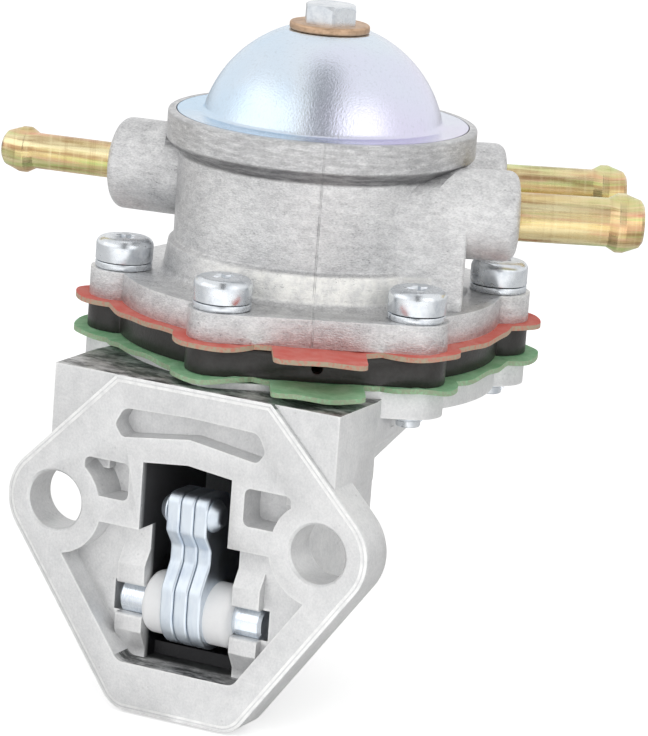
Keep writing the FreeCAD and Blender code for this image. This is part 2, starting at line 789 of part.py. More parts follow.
def arm_plate(left, width, tail_end):
    """Stamped plate of the rocker arm, seen from the side: nose, waist, boss and tail."""
    waist = nose_front + waist_sink
    boss_front = pivot_depth - boss_r
    boss_low = pivot_z - boss_r
    tail_low = tail_centre_z - tail_end_r
    tail_high = tail_centre_z + tail_end_r
    outline = rounded([(nose_front, nose_top_z, 1.8), (nose_front, nose_top_z - 6.3, 1.2),
                       (waist, nose_top_z - 9.0, 1.5), (waist, nose_top_z - 11.6, 2.4),
                       (boss_front, pivot_z + 4.2, 3.0), (boss_front, boss_low, boss_r),
                       (pivot_depth + boss_r, boss_low, boss_r),
                       (pivot_depth + boss_r, arm_underside_z, 1.5),
                       (underside_end, arm_underside_z, 4.0),
                       (tail_start, tail_low, 4.0), (tail_end, tail_low, tail_end_r),
                       (tail_end, tail_high, tail_end_r), (tail_top_start, tail_high, 8.0),
                       (shoulder_depth, tail_high - 1.5, 4.0), (nose_back + 1.6, nose_top_z - 9.5, 2.5),
                       (nose_back, nose_top_z - 5.0, 2.0), (nose_back, nose_top_z, 2.4)])
    plate = prism(outline, "side", left, width)
    rims = [edge for edge in plate.Edges if edge.BoundBox.XLength < 1e-6]
    plate = plate.makeFillet(plate_edge_r, rims)
    plate = plate.cut(rod_along(hub_r, V(left - 1, pivot_depth, pivot_z), V(1, 0, 0), width + 2))
    for y, z in ((rivet_y, rivet_z), (rear_rivet_y, rear_rivet_z)):
        plate = plate.cut(rod_along(rivet_r, V(left - 1, y, z), V(1, 0, 0), width + 2))
    return plate


def arm_plates():
    width = plate_pitch - plate_gap
    long_end = axis_depth + tail_end_r
    names = (("arm_plate_left", -1, long_end), ("arm_plate_middle", 0, middle_tail_end),
             ("arm_plate_right", 1, long_end))
    return {name: arm_plate(place * plate_pitch - width / 2, width, end) for name, place, end in names}


arm_half = 1.5 * plate_pitch - plate_gap / 2


def arm_rivets():
    rivets = []
    for y, z in ((rivet_y, rivet_z), (rear_rivet_y, rear_rivet_z)):
        head = [(0, 0, 0), (rivet_head_r, 0, 0), (rivet_head_r, rivet_head_land, 0),
                (rivet_head_r - 1.2, rivet_head_h, 1.0), (0, rivet_head_h, 0)]
        parts = [rod_along(rivet_r, V(-arm_half, y, z), V(1, 0, 0), 2 * arm_half)]
        parts += [turned(rounded(head), V(side * arm_half, y, z), V(side, 0, 0)) for side in (-1, 1)]
        rivets.append(fused(parts))
    return Part.makeCompound(rivets)


def pivot_bush(side):
    """Flanged bush: its sleeve lies in the plates' bore and its collar spaces the arm."""
    bore = pin_r + running_clearance
    reach = window_half - bush_gap - arm_half
    sleeve = arm_half - plate_gap
    sleeve_r = hub_r - press_gap
    profile = rounded([(bore, -sleeve, 0), (sleeve_r, -sleeve, 0), (sleeve_r, 0, 0), (bush_r, 0, 0),
                       (bush_r, reach - 0.3, 1.3), (bush_r - 1.4, reach, 0), (bore, reach, 0)])
    return turned(profile, V(side * arm_half, pivot_depth, pivot_z), V(side, 0, 0))


def pivot_pin():
    half = pin_half_length
    chamfer = 0.5
    return turned(rounded([(0, -half, 0), (pin_r - chamfer, -half, 0), (pin_r, -half + chamfer, 0),
                           (pin_r, half - chamfer, 0), (pin_r - chamfer, half, 0), (0, half, 0)]),
                  V(0, pivot_depth, pivot_z), V(1, 0, 0))


def diaphragm_rod():
    """Rod with a riveted head, a flat neck between the arm's plates and a cross hook below them."""
    hook_top = tail_centre_z - tail_end_r - rod_hook_gap
    hook_low = hook_top - rod_hook_t
    head_z = fuel_top + disc_t
    parts = [disc(rod_r, rod_neck_top_z, head_z + 0.2),
             turned(rounded([(0, 0, 0), (rod_head_r, 0, 0), (rod_head_r - 0.6, rod_head_h, 0.6),
                             (0, rod_head_h, 0)]), axis + V(0, 0, head_z))]
    neck = Part.makeBox(2 * rod_neck_half, 2 * rod_r, rod_neck_top_z - hook_low + 1,
                        V(-rod_neck_half, axis_depth - rod_r, hook_low))
    corner = V(-rod_hook_half, axis_depth - rod_r, hook_low)
    hook = Part.makeBox(2 * rod_hook_half, 2 * rod_r, rod_hook_t, corner)
    round_rod = disc(rod_r, hook_low, head_z)
    return fused(parts + [neck.common(round_rod), hook])


def clamp_disc(low, lip_up):
    """Pressed disc with a turned rim, on one face of a diaphragm."""
    rim = disc_lip if lip_up else -disc_lip
    base = 0 if lip_up else disc_t
    face = disc_t if lip_up else 0
    bore = rod_r + running_clearance
    corners = [(bore, base, 0), (disc_r - 1.2, base, 0), (disc_r, base + rim, 0),
               (disc_r, face + rim, 0), (disc_r - 1.6, face, 0), (bore, face, 0)]
    return turned(rounded(corners), axis + V(0, 0, low))


def middle_spool():
    bore = rod_r + running_clearance
    rim = disc_r - spool_inset
    flare = 0.6
    profile = sharp((bore, 0), (rim, 0), (rim, disc_t), (spool_hub_r, disc_t + flare),
                    (spool_hub_r, spacer_t - disc_t - flare), (rim, spacer_t - disc_t), (rim, spacer_t),
                    (bore, spacer_t))
    return turned(profile, axis + V(0, 0, safety_top))


def rod_seal():
    bore = rod_r + running_clearance
    outer = seal_r - press_gap
    lip_top = seal_t + seal_lip_h
    profile = sharp((bore, 0), (outer, 0), (outer, seal_t), (rod_r + seal_lip_r + 0.4, seal_t),
                    (rod_r + seal_lip_r, lip_top), (bore, lip_top))
    return turned(profile, axis + V(0, 0, guide_floor_z - seal_t))


def valve(angle_side, seat_z, opens):
    """Seat, disc, spring and cage of one valve; opens is -1 for down and 1 for up."""
    centre = polar(right_angle, angle_side * valve_offset)
    base = V(centre.x, centre.y, seat_z)
    way = V(0, 0, opens)
    seat_outer = valve_bore_r - press_gap
    cage_height = deck_z - pump_roof_z - valve_seat_t - 0.2
    seat = turned(sharp((valve_port_r, -valve_seat_t), (seat_outer, -valve_seat_t), (seat_outer, 0),
                        (valve_port_r + 0.9, 0), (valve_port_r, -0.4)), base, way)
    plate = Part.makeCylinder(valve_disc_r, valve_disc_t - valve_play, base + way * valve_play, way)
    inner = seat_outer - cage_wall
    floor = cage_height - cage_floor_t
    cage = turned(sharp((inner, 0), (seat_outer, 0), (seat_outer, cage_height), (0, cage_height),
                        (0, floor), (inner, floor)), base, way)
    for index in range(cage_port_count):
        spot = heading(45 + 360 * index / cage_port_count) * (valve_spring_r + 1.5)
        cage = cage.cut(rod_along(cage_port_r, base + spot + way * (floor - 1), way, cage_floor_t + 2))
    height = floor - valve_disc_t
    low = seat_z + (valve_disc_t if opens > 0 else -floor)
    coil = spring(valve_spring_r, valve_wire_r, V(centre.x, centre.y, low), height, valve_spring_turns)
    return seat, plate, coil, cage


def dome_cap():
    """Pressed dome: flat clamping rim, spherical crown and a flat seat for the bolt washer."""
    level = body_top - recess_sink + gasket_t
    crown_z = stack_top + dome_top_height - level
    centre_z = sphere_centre_z() - level
    outer = dome_section(dome_sphere_r, cap_sheet_t, crown_z, centre_z, cap_disc_r, dome_root_r)
    inner = dome_section(dome_sphere_r - cap_sheet_t, 0, crown_z - cap_sheet_t, centre_z, cap_disc_r, 0)
    solid = outer.cut(inner)
    solid = solid.cut(Part.makeCylinder(cap_hole_r, crown_z + 2, V(0, 0, -1)))
    solid.translate(axis + V(0, 0, level))
    return solid


def sphere_centre_z():
    """Height of the dome's centre, from the crown's flat and the radius of the sphere."""
    flat_r = cap_washer_r + 0.75
    return stack_top + dome_top_height - math.sqrt(dome_sphere_r ** 2 - flat_r ** 2)


def dome_section(sphere_r, sheet, crown_z, centre_z, rim, root_r):
    ball = Part.makeSphere(sphere_r, V(0, 0, centre_z))
    room = Part.makeCylinder(sphere_r + 1, crown_z, V(0, 0, 0))
    cap = ball.common(room)
    if not sheet:
        return cap
    whole = Part.makeCylinder(rim, sheet).fuse(cap)
    root = [edge for edge in whole.Edges if edge.BoundBox.ZLength < 1e-6
            and abs(edge.BoundBox.ZMax - sheet) < 1e-6 and edge.BoundBox.XLength < 2 * rim - 1]
    return whole.makeFillet(root_r, root)


def cap_gasket():
    level = body_top - recess_sink
    return disc(cap_disc_r, level, level + gasket_t).cut(disc(gasket_inner_r, level - 1, level + 2))


def filter_screen():
    """Gauze disc in a pressed hoop that stands on the ledge round the inlet chamber."""
    outer = ledge_r - screen_gap
    inner = cap_bolt_r + 6 * screen_gap
    profile = sharp((inner, 0), (outer, 0), (outer, screen_hoop), (outer - hoop_t, screen_hoop),
                    (outer - hoop_t, screen_t), (inner + hoop_t, screen_t), (inner + hoop_t, screen_hoop),
                    (inner, screen_hoop))
    return turned(profile, axis + V(0, 0, ledge_z))


def cap_bolt():
    seat = stack_top + dome_top_height + cap_washer_t
    low = cap_bolt_seat_z - seat
    across = hex_across_flats / math.sqrt(3)
    corners = [point_at((0, 0), across, math.radians(60 * index)) for index in range(6)]
    head = prism(sharp(*corners), "top", 0, hex_flange_t + hex_height)
    crown_r = hex_across_flats / 2
    top = hex_flange_t + hex_height
    head = head.common(turned(rounded([(0, 0, 0), (across + 0.1, 0, 0), (across + 0.1, top - 0.7, 0),
                                       (crown_r - 0.1, top, 0), (0, top, 0)])))
    radius = cap_bolt_r - press_gap
    shank = turned(sharp((0, low), (radius - 0.6, low), (radius, low + 0.6), (radius, 0.5), (0, 0.5)))
    bolt = fused([head, shank, Part.makeCylinder(hex_flange_r, hex_flange_t)])
    bolt.translate(axis + V(0, 0, seat))
    return bolt


def cap_bolt_washer():
    bore = cap_bolt_r + cap_washer_clearance
    edge_r = 0.4
    profile = rounded([(bore, 0, 0), (cap_washer_r, 0, edge_r), (cap_washer_r, cap_washer_t, edge_r),
                       (bore, cap_washer_t, 0)])
    return turned(profile, axis + V(0, 0, stack_top + dome_top_height))


def springs():
    disc_low = housing_top - disc_t
    main = spring(main_spring_r, main_wire_r, axis + V(0, 0, guide_floor_z),
                  disc_low - guide_floor_z, main_spring_turns)
    low = cavity_floor_z - spring_seat_sink
    back = spring(return_spring_r, return_wire_r, V(0, return_spring_y, low),
                  arm_underside_z - low, return_spring_turns)
    return {"diaphragm_spring": main, "arm_return_spring": back}


def all_parts():
    parts = {
        "lower_housing": lower_housing(),
        "upper_body": upper_body(),
        "spacer_ring": spacer_ring(),
        "fuel_diaphragm": membrane(spacer_top),
        "safety_diaphragm": membrane(housing_top),
        "flange_screws": around(flange_screw(), stack_top + washer_t, screw_first_turn),
        "spring_washers": around(spring_washer(), stack_top, washer_first_turn),
        "pivot_pin": pivot_pin(),
        "pivot_bush_left": pivot_bush(-1),
        "pivot_bush_right": pivot_bush(1),
        "arm_rivets": arm_rivets(),
        "diaphragm_rod": diaphragm_rod(),
        "fuel_disc": clamp_disc(fuel_top, True),
        "middle_spool": middle_spool(),
        "safety_disc": clamp_disc(housing_top - disc_t, False),
        "rod_seal": rod_seal(),
        "dome_cap": dome_cap(),
        "cap_gasket": cap_gasket(),
        "filter_screen": filter_screen(),
        "cap_bolt": cap_bolt(),
        "cap_bolt_washer": cap_bolt_washer(),
        "outlet_spigot": spigot(right_angle, -right_offset, right_height, right_tube_r,
                                right_boss_end, right_tube_tip),
        "return_spigot": spigot(right_angle, right_offset, right_height, right_tube_r,
                                right_boss_end, right_tube_tip),
        "inlet_spigot": spigot(left_angle, 0, left_height, left_tube_r, left_boss_end, left_tube_tip),
    }
    parts.update(arm_plates())
    parts.update(springs())
    inlet = valve(-1, deck_z - valve_seat_t, -1)
    outlet = valve(1, pump_roof_z + valve_seat_t, 1)
    for name, pieces in (("inlet", inlet), ("outlet", outlet)):
        for piece, shape in zip(("valve_seat", "valve_disc", "valve_spring", "valve_cage"), pieces):
            parts[name + "_" + piece] = shape
    return parts


for name, shape in all_parts().items():
    shape.exportStep("parts/" + name + ".step")
    print(name, len(shape.Solids), round(shape.Volume, 1), shape.isValid())
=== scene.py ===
import json
import math
import bpy
from mathutils import Matrix, Vector
from mathutils.geometry import convex_hull_2d


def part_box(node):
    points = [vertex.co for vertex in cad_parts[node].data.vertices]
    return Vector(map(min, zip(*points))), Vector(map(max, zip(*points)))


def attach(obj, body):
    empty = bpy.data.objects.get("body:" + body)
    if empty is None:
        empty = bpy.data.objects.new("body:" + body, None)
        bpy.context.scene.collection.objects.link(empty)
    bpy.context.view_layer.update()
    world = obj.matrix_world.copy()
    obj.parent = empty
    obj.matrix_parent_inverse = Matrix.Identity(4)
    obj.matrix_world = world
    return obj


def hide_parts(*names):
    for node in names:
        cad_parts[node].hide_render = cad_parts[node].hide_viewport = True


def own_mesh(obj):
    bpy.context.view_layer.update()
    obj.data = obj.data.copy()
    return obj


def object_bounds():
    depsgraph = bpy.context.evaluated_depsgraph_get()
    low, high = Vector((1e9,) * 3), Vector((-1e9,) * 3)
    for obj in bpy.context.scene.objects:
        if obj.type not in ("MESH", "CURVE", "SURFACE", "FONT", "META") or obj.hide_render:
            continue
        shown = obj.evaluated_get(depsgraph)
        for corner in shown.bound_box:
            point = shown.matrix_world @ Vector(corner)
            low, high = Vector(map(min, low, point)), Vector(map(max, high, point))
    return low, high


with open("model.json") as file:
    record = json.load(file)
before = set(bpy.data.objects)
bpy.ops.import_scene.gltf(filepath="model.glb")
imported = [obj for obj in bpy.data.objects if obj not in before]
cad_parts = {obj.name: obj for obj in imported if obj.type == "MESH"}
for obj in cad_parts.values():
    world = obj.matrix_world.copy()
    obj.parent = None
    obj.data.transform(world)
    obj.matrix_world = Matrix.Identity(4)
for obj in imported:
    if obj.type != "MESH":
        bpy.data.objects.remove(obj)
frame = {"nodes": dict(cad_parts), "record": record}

nodes = frame["nodes"]
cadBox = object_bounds()
scene = bpy.context.scene
mm = 0.001
axisDepth = 39.0 * mm        # the stack's axis lies this far behind the mounting face
bumpDepth = 0.1 * mm         # depth of the finest marks on plated and moulded surfaces
endNormal = 0.9              # a face counts as an end when its normal is at least this upright
shadeSamples = 8             # rays for the corner and edge masks


# Camera at the photo's viewing angle
view = {
    "azimuth": 26.18,        # degrees to the right of the mounting face
    "elevation": 13.08,
    "roll": 4.30,            # the pump leans clockwise in the frame
    "distance": 0.69277,
    "target": (0.01098, 0.0240, 0.02387),
    "lens": 208.9,
    "sensor": 36,
    "nearest": 0.05,
    "farthest": 20,
}


def towards(azimuth, elevation=0.0):
    # A direction away from the pump, in degrees to the right of the mounting face and upwards
    azimuth = math.radians(azimuth)
    elevation = math.radians(elevation)
    return Vector((math.sin(azimuth) * math.cos(elevation), -math.cos(azimuth) * math.cos(elevation),
                   math.sin(elevation)))


def makeCamera():
    roll = math.radians(view["roll"])
    back = towards(view["azimuth"], view["elevation"])
    right = towards(view["azimuth"] + 90)
    up = back.cross(right)
    tiltedRight = right * math.cos(roll) + up * math.sin(roll)
    tiltedUp = up * math.cos(roll) - right * math.sin(roll)
    data = bpy.data.cameras.new("camera")
    data.lens = view["lens"]
    data.sensor_width = view["sensor"]
    data.clip_start = view["nearest"]
    data.clip_end = view["farthest"]
    camera = bpy.data.objects.new("camera", data)
    scene.collection.objects.link(camera)
    turn = Matrix((tiltedRight, tiltedUp, back)).transposed()
    place = Vector(view["target"]) + back * view["distance"]
    camera.matrix_world = Matrix.Translation(place) @ turn.to_4x4()
    scene.camera = camera


makeCamera()
print("camera placed")


# Modelling helpers
def deselectAll():
    if bpy.context.mode != "OBJECT":
        bpy.ops.object.mode_set(mode="OBJECT")
    bpy.ops.object.select_all(action="DESELECT")


def makeActive(piece):
    deselectAll()
    piece.select_set(True)
    bpy.context.view_layer.objects.active = piece


def editMesh(piece, kind="FACE"):
    makeActive(piece)
    bpy.ops.object.mode_set(mode="EDIT")
    bpy.ops.mesh.select_mode(type=kind)


def selectEnd(piece, upward):
    # Selects the end faces that look up (1) or down (-1), and stays in edit mode
    editMesh(piece)
    bpy.ops.mesh.select_all(action="DESELECT")
    bpy.ops.object.mode_set(mode="OBJECT")
    for face in piece.data.polygons:
        face.select = face.normal.z * upward > endNormal
    bpy.ops.object.mode_set(mode="EDIT")


def roundEnd(piece, upward, width, segments):
    selectEnd(piece, upward)
    bpy.ops.mesh.bevel(offset=width, segments=segments, affect="EDGES")
    bpy.ops.object.mode_set(mode="OBJECT")


def closeEnds(piece):
    # Fills the open ends of a swept profile
    bpy.ops.mesh.select_all(action="DESELECT")
    bpy.ops.mesh.select_non_manifold()
    bpy.ops.mesh.fill()
    bpy.ops.object.mode_set(mode="OBJECT")
    recalculateNormals(piece)


def applyModifier(piece, kind, **settings):
    makeActive(piece)
    modifier = piece.modifiers.new(kind.lower(), kind)
    for name, value in settings.items():
        setattr(modifier, name, value)
    bpy.ops.object.modifier_apply(modifier=modifier.name)


def applyPlace(piece):
    makeActive(piece)
    bpy.ops.object.transform_apply(location=True, rotation=True, scale=True)


def recalculateNormals(piece):
    editMesh(piece)
    bpy.ops.mesh.select_all(action="SELECT")
    bpy.ops.mesh.normals_make_consistent(inside=False)
    bpy.ops.object.mode_set(mode="OBJECT")


def joinPieces(pieces):
    makeActive(pieces[0])
    for piece in pieces[1:]:
        piece.select_set(True)
    bpy.ops.object.join()
    return bpy.context.object


def copyPiece(piece):
    makeActive(piece)
    bpy.ops.object.duplicate()
    return bpy.context.object


def addCylinder(radius, low, high, vertices):
    deselectAll()
    bpy.ops.mesh.primitive_cylinder_add(vertices=vertices, radius=radius, depth=high - low,
                                        location=(0, 0, (low + high) / 2))
    piece = bpy.context.object
    applyPlace(piece)
    return piece


def finishPiece(piece, name, body, slot, replaced, smoothAngle=35):
    applyPlace(piece)
    piece.name = name
    piece.data.name = name
    bpy.ops.object.shade_smooth_by_angle(angle=math.radians(smoothAngle))
    piece.data.materials.clear()
    piece.data.materials.append(materials[finishOfSlot[slot]])
    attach(piece, body)
    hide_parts(replaced)


# Shader helpers
def addNode(tree, kind, **settings):
    node = tree.nodes.new(kind)
    for name, value in settings.items():
        setattr(node, name, value)
    return node


def setInputs(node, **values):
    for name, value in values.items():
        node.inputs[name.replace("_", " ")].default_value = value


def feed(tree, socket, value):
    # Links a socket, or sets it when the value is a plain number, colour or vector
    if hasattr(value, "is_output"):
        tree.links.new(value, socket)
    else:
        socket.default_value = value


def mixColors(tree, factor, first, second):
    mix = addNode(tree, "ShaderNodeMix", data_type="RGBA")
    for socket, value in ((mix.inputs[0], factor), (mix.inputs[6], first), (mix.inputs[7], second)):
        feed(tree, socket, value)
    return mix.outputs[2]


def doMath(tree, operation, first, second=0.0):
    node = addNode(tree, "ShaderNodeMath", operation=operation)
    for socket, value in zip(node.inputs, (first, second)):
        feed(tree, socket, value)
    return node.outputs[0]


def multiply(tree, first, *others):
    for value in others:
        first = doMath(tree, "MULTIPLY", first, value)
    return first


def split(tree, vector):
    node = addNode(tree, "ShaderNodeSeparateXYZ")
    tree.links.new(vector, node.inputs[0])
    return node.outputs


def dot(tree, vector, direction):
    node = addNode(tree, "ShaderNodeVectorMath", operation="DOT_PRODUCT")
    tree.links.new(vector, node.inputs[0])
    node.inputs[1].default_value = direction
    return node.outputs["Value"]


def remap(tree, value, low, high, newLow=0.0, newHigh=1.0):
    node = addNode(tree, "ShaderNodeMapRange")
    tree.links.new(value, node.inputs["Value"])
    setInputs(node, From_Min=low, From_Max=high, To_Min=newLow, To_Max=newHigh)
    return node.outputs[0]


def stretch(tree, vector, amounts):
    node = addNode(tree, "ShaderNodeVectorMath", operation="MULTIPLY")
    tree.links.new(vector, node.inputs[0])
    feed(tree, node.inputs[1], amounts)
    return node.outputs[0]


def noise(tree, vector, scale, detail=2.0, roughness=0.5):
    node = addNode(tree, "ShaderNodeTexNoise")
    tree.links.new(vector, node.inputs["Vector"])
    feed(tree, node.inputs["Scale"], scale)
    setInputs(node, Detail=detail, Roughness=roughness)
    return node.outputs["Fac"]


def objectPlace(tree):
    return addNode(tree, "ShaderNodeTexCoord").outputs["Object"]


def newGroup(name, inputs, outputs):
    group = bpy.data.node_groups.new(name, "ShaderNodeTree")
    for label, kind, value in inputs:
        socket = group.interface.new_socket(name=label, in_out="INPUT", socket_type=kind)
        socket.default_value = value
    for label, kind in outputs:
        group.interface.new_socket(name=label, in_out="OUTPUT", socket_type=kind)
    return group, addNode(group, "NodeGroupInput"), addNode(group, "NodeGroupOutput")


# Cast skin: fine grain, larger clouding, flow marks and a few dark pits
castTone = {"fine": 0.42, "cloud": 0.33, "broad": 0.25, "broadScale": 70.0, "cloudHeight": 0.8,
            "pitScale": 0.4, "pitSpread": 240.0}


def makeCastGroup():
    group, given, made = newGroup(
        "castSkin",
        [("Grain Scale", "NodeSocketFloat", 1600.0), ("Cloud Scale", "NodeSocketFloat", 260.0),
         ("Flow", "NodeSocketVector", (1.0, 1.0, 3.0)), ("Pits", "NodeSocketFloat", 0.5)],
        [("Height", "NodeSocketFloat"), ("Tone", "NodeSocketFloat"), ("Pit", "NodeSocketFloat")])
    place = objectPlace(group)
    flowing = stretch(group, place, given.outputs["Flow"])
    fine = noise(group, flowing, given.outputs["Grain Scale"], 4.0, 0.65)
    cloud = noise(group, flowing, given.outputs["Cloud Scale"], 5.0, 0.62)
    broad = noise(group, place, castTone["broadScale"], 2.0)
    tone = doMath(group, "MULTIPLY", fine, castTone["fine"])
    tone = doMath(group, "ADD", tone, doMath(group, "MULTIPLY", cloud, castTone["cloud"]))
    tone = doMath(group, "ADD", tone, doMath(group, "MULTIPLY", broad, castTone["broad"]))
    holes = addNode(group, "ShaderNodeTexVoronoi", feature="F1")
    group.links.new(place, holes.inputs["Vector"])
    holeScale = doMath(group, "MULTIPLY", given.outputs["Grain Scale"], castTone["pitScale"])
    group.links.new(holeScale, holes.inputs["Scale"])
    pit = remap(group, holes.outputs["Distance"], 0.10, 0.24, 1.0, 0.0)
    sparse = remap(group, noise(group, place, castTone["pitSpread"]), 0.56, 0.64)
    pit = multiply(group, pit, sparse, given.outputs["Pits"])
    height = doMath(group, "ADD", fine, doMath(group, "MULTIPLY", cloud, castTone["cloudHeight"]))
    height = doMath(group, "SUBTRACT", height, pit)
    for value, label in ((height, "Height"), (tone, "Tone"), (pit, "Pit")):
        group.links.new(value, made.inputs[label])
    return group


# Fine marks along one direction: drawn, ground or plated metal
def makeLineGroup():
    group, given, made = newGroup(
        "drawnLines",
        [("Stretch", "NodeSocketVector", (1.0, 1.0, 1.0)), ("Scale", "NodeSocketFloat", 1500.0)],
        [("Height", "NodeSocketFloat"), ("Mask", "NodeSocketFloat")])
    stretched = stretch(group, objectPlace(group), given.outputs["Stretch"])
    lines = noise(group, stretched, given.outputs["Scale"], 4.0, 0.65)
    group.links.new(lines, made.inputs["Height"])
    group.links.new(remap(group, lines, 0.40, 0.66), made.inputs["Mask"])
    return group


# Painted shade that darkens corners and recesses, 1 where the surface is closed in
def makeCornerShadeGroup():
    group, given, made = newGroup(
        "paintedCornerShade",
        [("Reach", "NodeSocketFloat", 0.003), ("Full", "NodeSocketFloat", 0.25),
         ("None", "NodeSocketFloat", 0.85)],
        [("Mask", "NodeSocketFloat")])
    openness = addNode(group, "ShaderNodeAmbientOcclusion", samples=shadeSamples, only_local=True)
    group.links.new(given.outputs["Reach"], openness.inputs["Distance"])
    mask = addNode(group, "ShaderNodeMapRange")
    setInputs(mask, To_Min=1.0, To_Max=0.0)
    for value, label in ((openness.outputs["AO"], "Value"), (given.outputs["Full"], "From Min"),
                         (given.outputs["None"], "From Max")):
        group.links.new(value, mask.inputs[label])
    group.links.new(mask.outputs[0], made.inputs["Mask"])
    return group


# Painted highlight along outer edges, 1 on the edge itself
def makeEdgeHighlightGroup():
    group, given, made = newGroup("paintedEdgeHighlight", [("Reach", "NodeSocketFloat", 0.0006)],
                                  [("Mask", "NodeSocketFloat")])
    solid = addNode(group, "ShaderNodeAmbientOcclusion", samples=shadeSamples, inside=True, only_local=True)
    group.links.new(given.outputs["Reach"], solid.inputs["Distance"])
    uneven = remap(group, noise(group, objectPlace(group), 500.0, 4.0, 0.65), 0.36, 0.58, 0.35, 1.0)
    edge = remap(group, solid.outputs["AO"], 0.50, 0.90, 1.0, 0.0)
    group.links.new(doMath(group, "MULTIPLY", edge, uneven), made.inputs["Mask"])
    return group


groups = {"cast": makeCastGroup(), "lines": makeLineGroup(), "cornerShade": makeCornerShadeGroup(),
          "edges": makeEdgeHighlightGroup()}


def newMaterial(name):
    material = bpy.data.materials.new(name)
    material.use_nodes = True
    tree = material.node_tree
    return material, tree, tree.nodes["Principled BSDF"]


def useGroup(tree, name, **values):
    node = addNode(tree, "ShaderNodeGroup", node_tree=groups[name])
    setInputs(node, **values)
    return node


def addBump(tree, shader, height, strength, distance=bumpDepth):
    bump = addNode(tree, "ShaderNodeBump")
    setInputs(bump, Strength=strength, Distance=distance)
    tree.links.new(height, bump.inputs["Height"])
    tree.links.new(bump.outputs["Normal"], shader.inputs["Normal"])


def linkRough(tree, shader, value, low, high, rough):
    tree.links.new(remap(tree, value, low, high, *rough), shader.inputs["Roughness"])


# Place measured from the stack's axis: x, y and z
def stackPlace(tree):
    x, y, z = split(tree, objectPlace(tree))
    return x, doMath(tree, "SUBTRACT", y, axisDepth), z


# How far a place lies from the stack's axis in one direction, in degrees from +X
def along(tree, x, y, degrees):
    angle = math.radians(degrees)
    return doMath(tree, "ADD", doMath(tree, "MULTIPLY", x, math.cos(angle)),
                  doMath(tree, "MULTIPLY", y, math.sin(angle)))


# The mould's parting line: a plane through the stack's axis, shown on the side that faces the front
def seamMask(tree, seam):
    x, y, z = stackPlace(tree)
    across = doMath(tree, "ABSOLUTE", along(tree, x, y, seam["angle"] + 90))
    line = remap(tree, across, seam["width"] / 2, seam["width"], 1.0, 0.0)
    front = doMath(tree, "GREATER_THAN", along(tree, x, y, seam["angle"]), 0.0)
    broken = remap(tree, noise(tree, objectPlace(tree), seam["breaks"], 3.0), 0.40, 0.60, 0.2, 1.0)
    return multiply(tree, line, front, doMath(tree, "LESS_THAN", z, seam["top"]), broken)


# Marks that go round the body between two heights: turned lines, painted shade and a painted highlight
def bandColor(tree, color, band):
    x, y, z = stackPlace(tree)
    squares = doMath(tree, "ADD", doMath(tree, "MULTIPLY", x, x), doMath(tree, "MULTIPLY", y, y))
    radius = doMath(tree, "SQRT", squares)
    above = remap(tree, z, band["low"], band["low"] + band["fade"])
    below = remap(tree, z, band["high"] - band["fade"], band["high"], 1.0, 0.0)
    near = doMath(tree, "LESS_THAN", radius, band["radius"])
    turned = doMath(tree, "DIVIDE", along(tree, x, y, band["angle"]), radius)
    facing = remap(tree, turned, *band["turn"])
    lines = noise(tree, stretch(tree, objectPlace(tree), band["stretch"]), band["scale"], 4.0, 0.65)
    uneven = remap(tree, lines, 0.38, 0.60, band["least"], 1.0)
    mask = multiply(tree, above, below, near, facing, uneven, band["share"])
    return mixColors(tree, mask, color, band["color"])


# True near one height, where the surface faces up
def levelMask(tree, z, upward, height, spare):
    gap = doMath(tree, "ABSOLUTE", doMath(tree, "SUBTRACT", z, height))
    return doMath(tree, "MULTIPLY", upward, doMath(tree, "LESS_THAN", gap, spare))


# Painted shade inside the arm's window, darker low down, and a streaky film of oil and painted shade on the
# shelf below the stack and on the pocket's floor
def innerShadeAndOil(tree, color, shadeAndOil):
    place = objectPlace(tree)
    x, y, z = split(tree, place)
    facing = split(tree, addNode(tree, "ShaderNodeTexCoord").outputs["Normal"])[2]
    inPocket = doMath(tree, "LESS_THAN", z, shadeAndOil["pocketTop"])
    front = doMath(tree, "ADD", doMath(tree, "MULTIPLY", inPocket, shadeAndOil["pocketDepth"]), shadeAndOil["front"])
    deep = remap(tree, doMath(tree, "SUBTRACT", y, front), 0.0, shadeAndOil["fade"])
    narrow = doMath(tree, "LESS_THAN", doMath(tree, "ABSOLUTE", x), shadeAndOil["half"])
    below = doMath(tree, "LESS_THAN", z, shadeAndOil["windowTop"])
    above = doMath(tree, "GREATER_THAN", z, shadeAndOil["windowBottom"])
    near = doMath(tree, "LESS_THAN", y, shadeAndOil["back"])
    underside = multiply(tree, doMath(tree, "LESS_THAN", facing, shadeAndOil["downTurn"]),
                         doMath(tree, "LESS_THAN", z, shadeAndOil["roofLow"]))
    inside = multiply(tree, narrow, deep, below, above, near, doMath(tree, "SUBTRACT", 1.0, underside))
    paler = remap(tree, z, shadeAndOil["darkBelow"], shadeAndOil["palerAbove"])
    color = mixColors(tree, inside, color, mixColors(tree, paler, shadeAndOil["deepShade"], shadeAndOil["upperShade"]))
    upward = doMath(tree, "GREATER_THAN", facing, shadeAndOil["upTurn"])
    oilAndShadeMask = doMath(tree, "MAXIMUM", levelMask(tree, z, upward, shadeAndOil["shelf"], shadeAndOil["shelfSpare"]),
                 levelMask(tree, z, upward, shadeAndOil["floor"], shadeAndOil["floorSpare"]))
    streaks = noise(tree, stretch(tree, place, shadeAndOil["streakStretch"]), shadeAndOil["streaks"], 5.0, 0.72)
    patchy = remap(tree, streaks, 0.38, 0.58, 0.15, 1.0)
    return mixColors(tree, doMath(tree, "MULTIPLY", oilAndShadeMask, patchy), color, shadeAndOil["oilAndShadeFilm"])


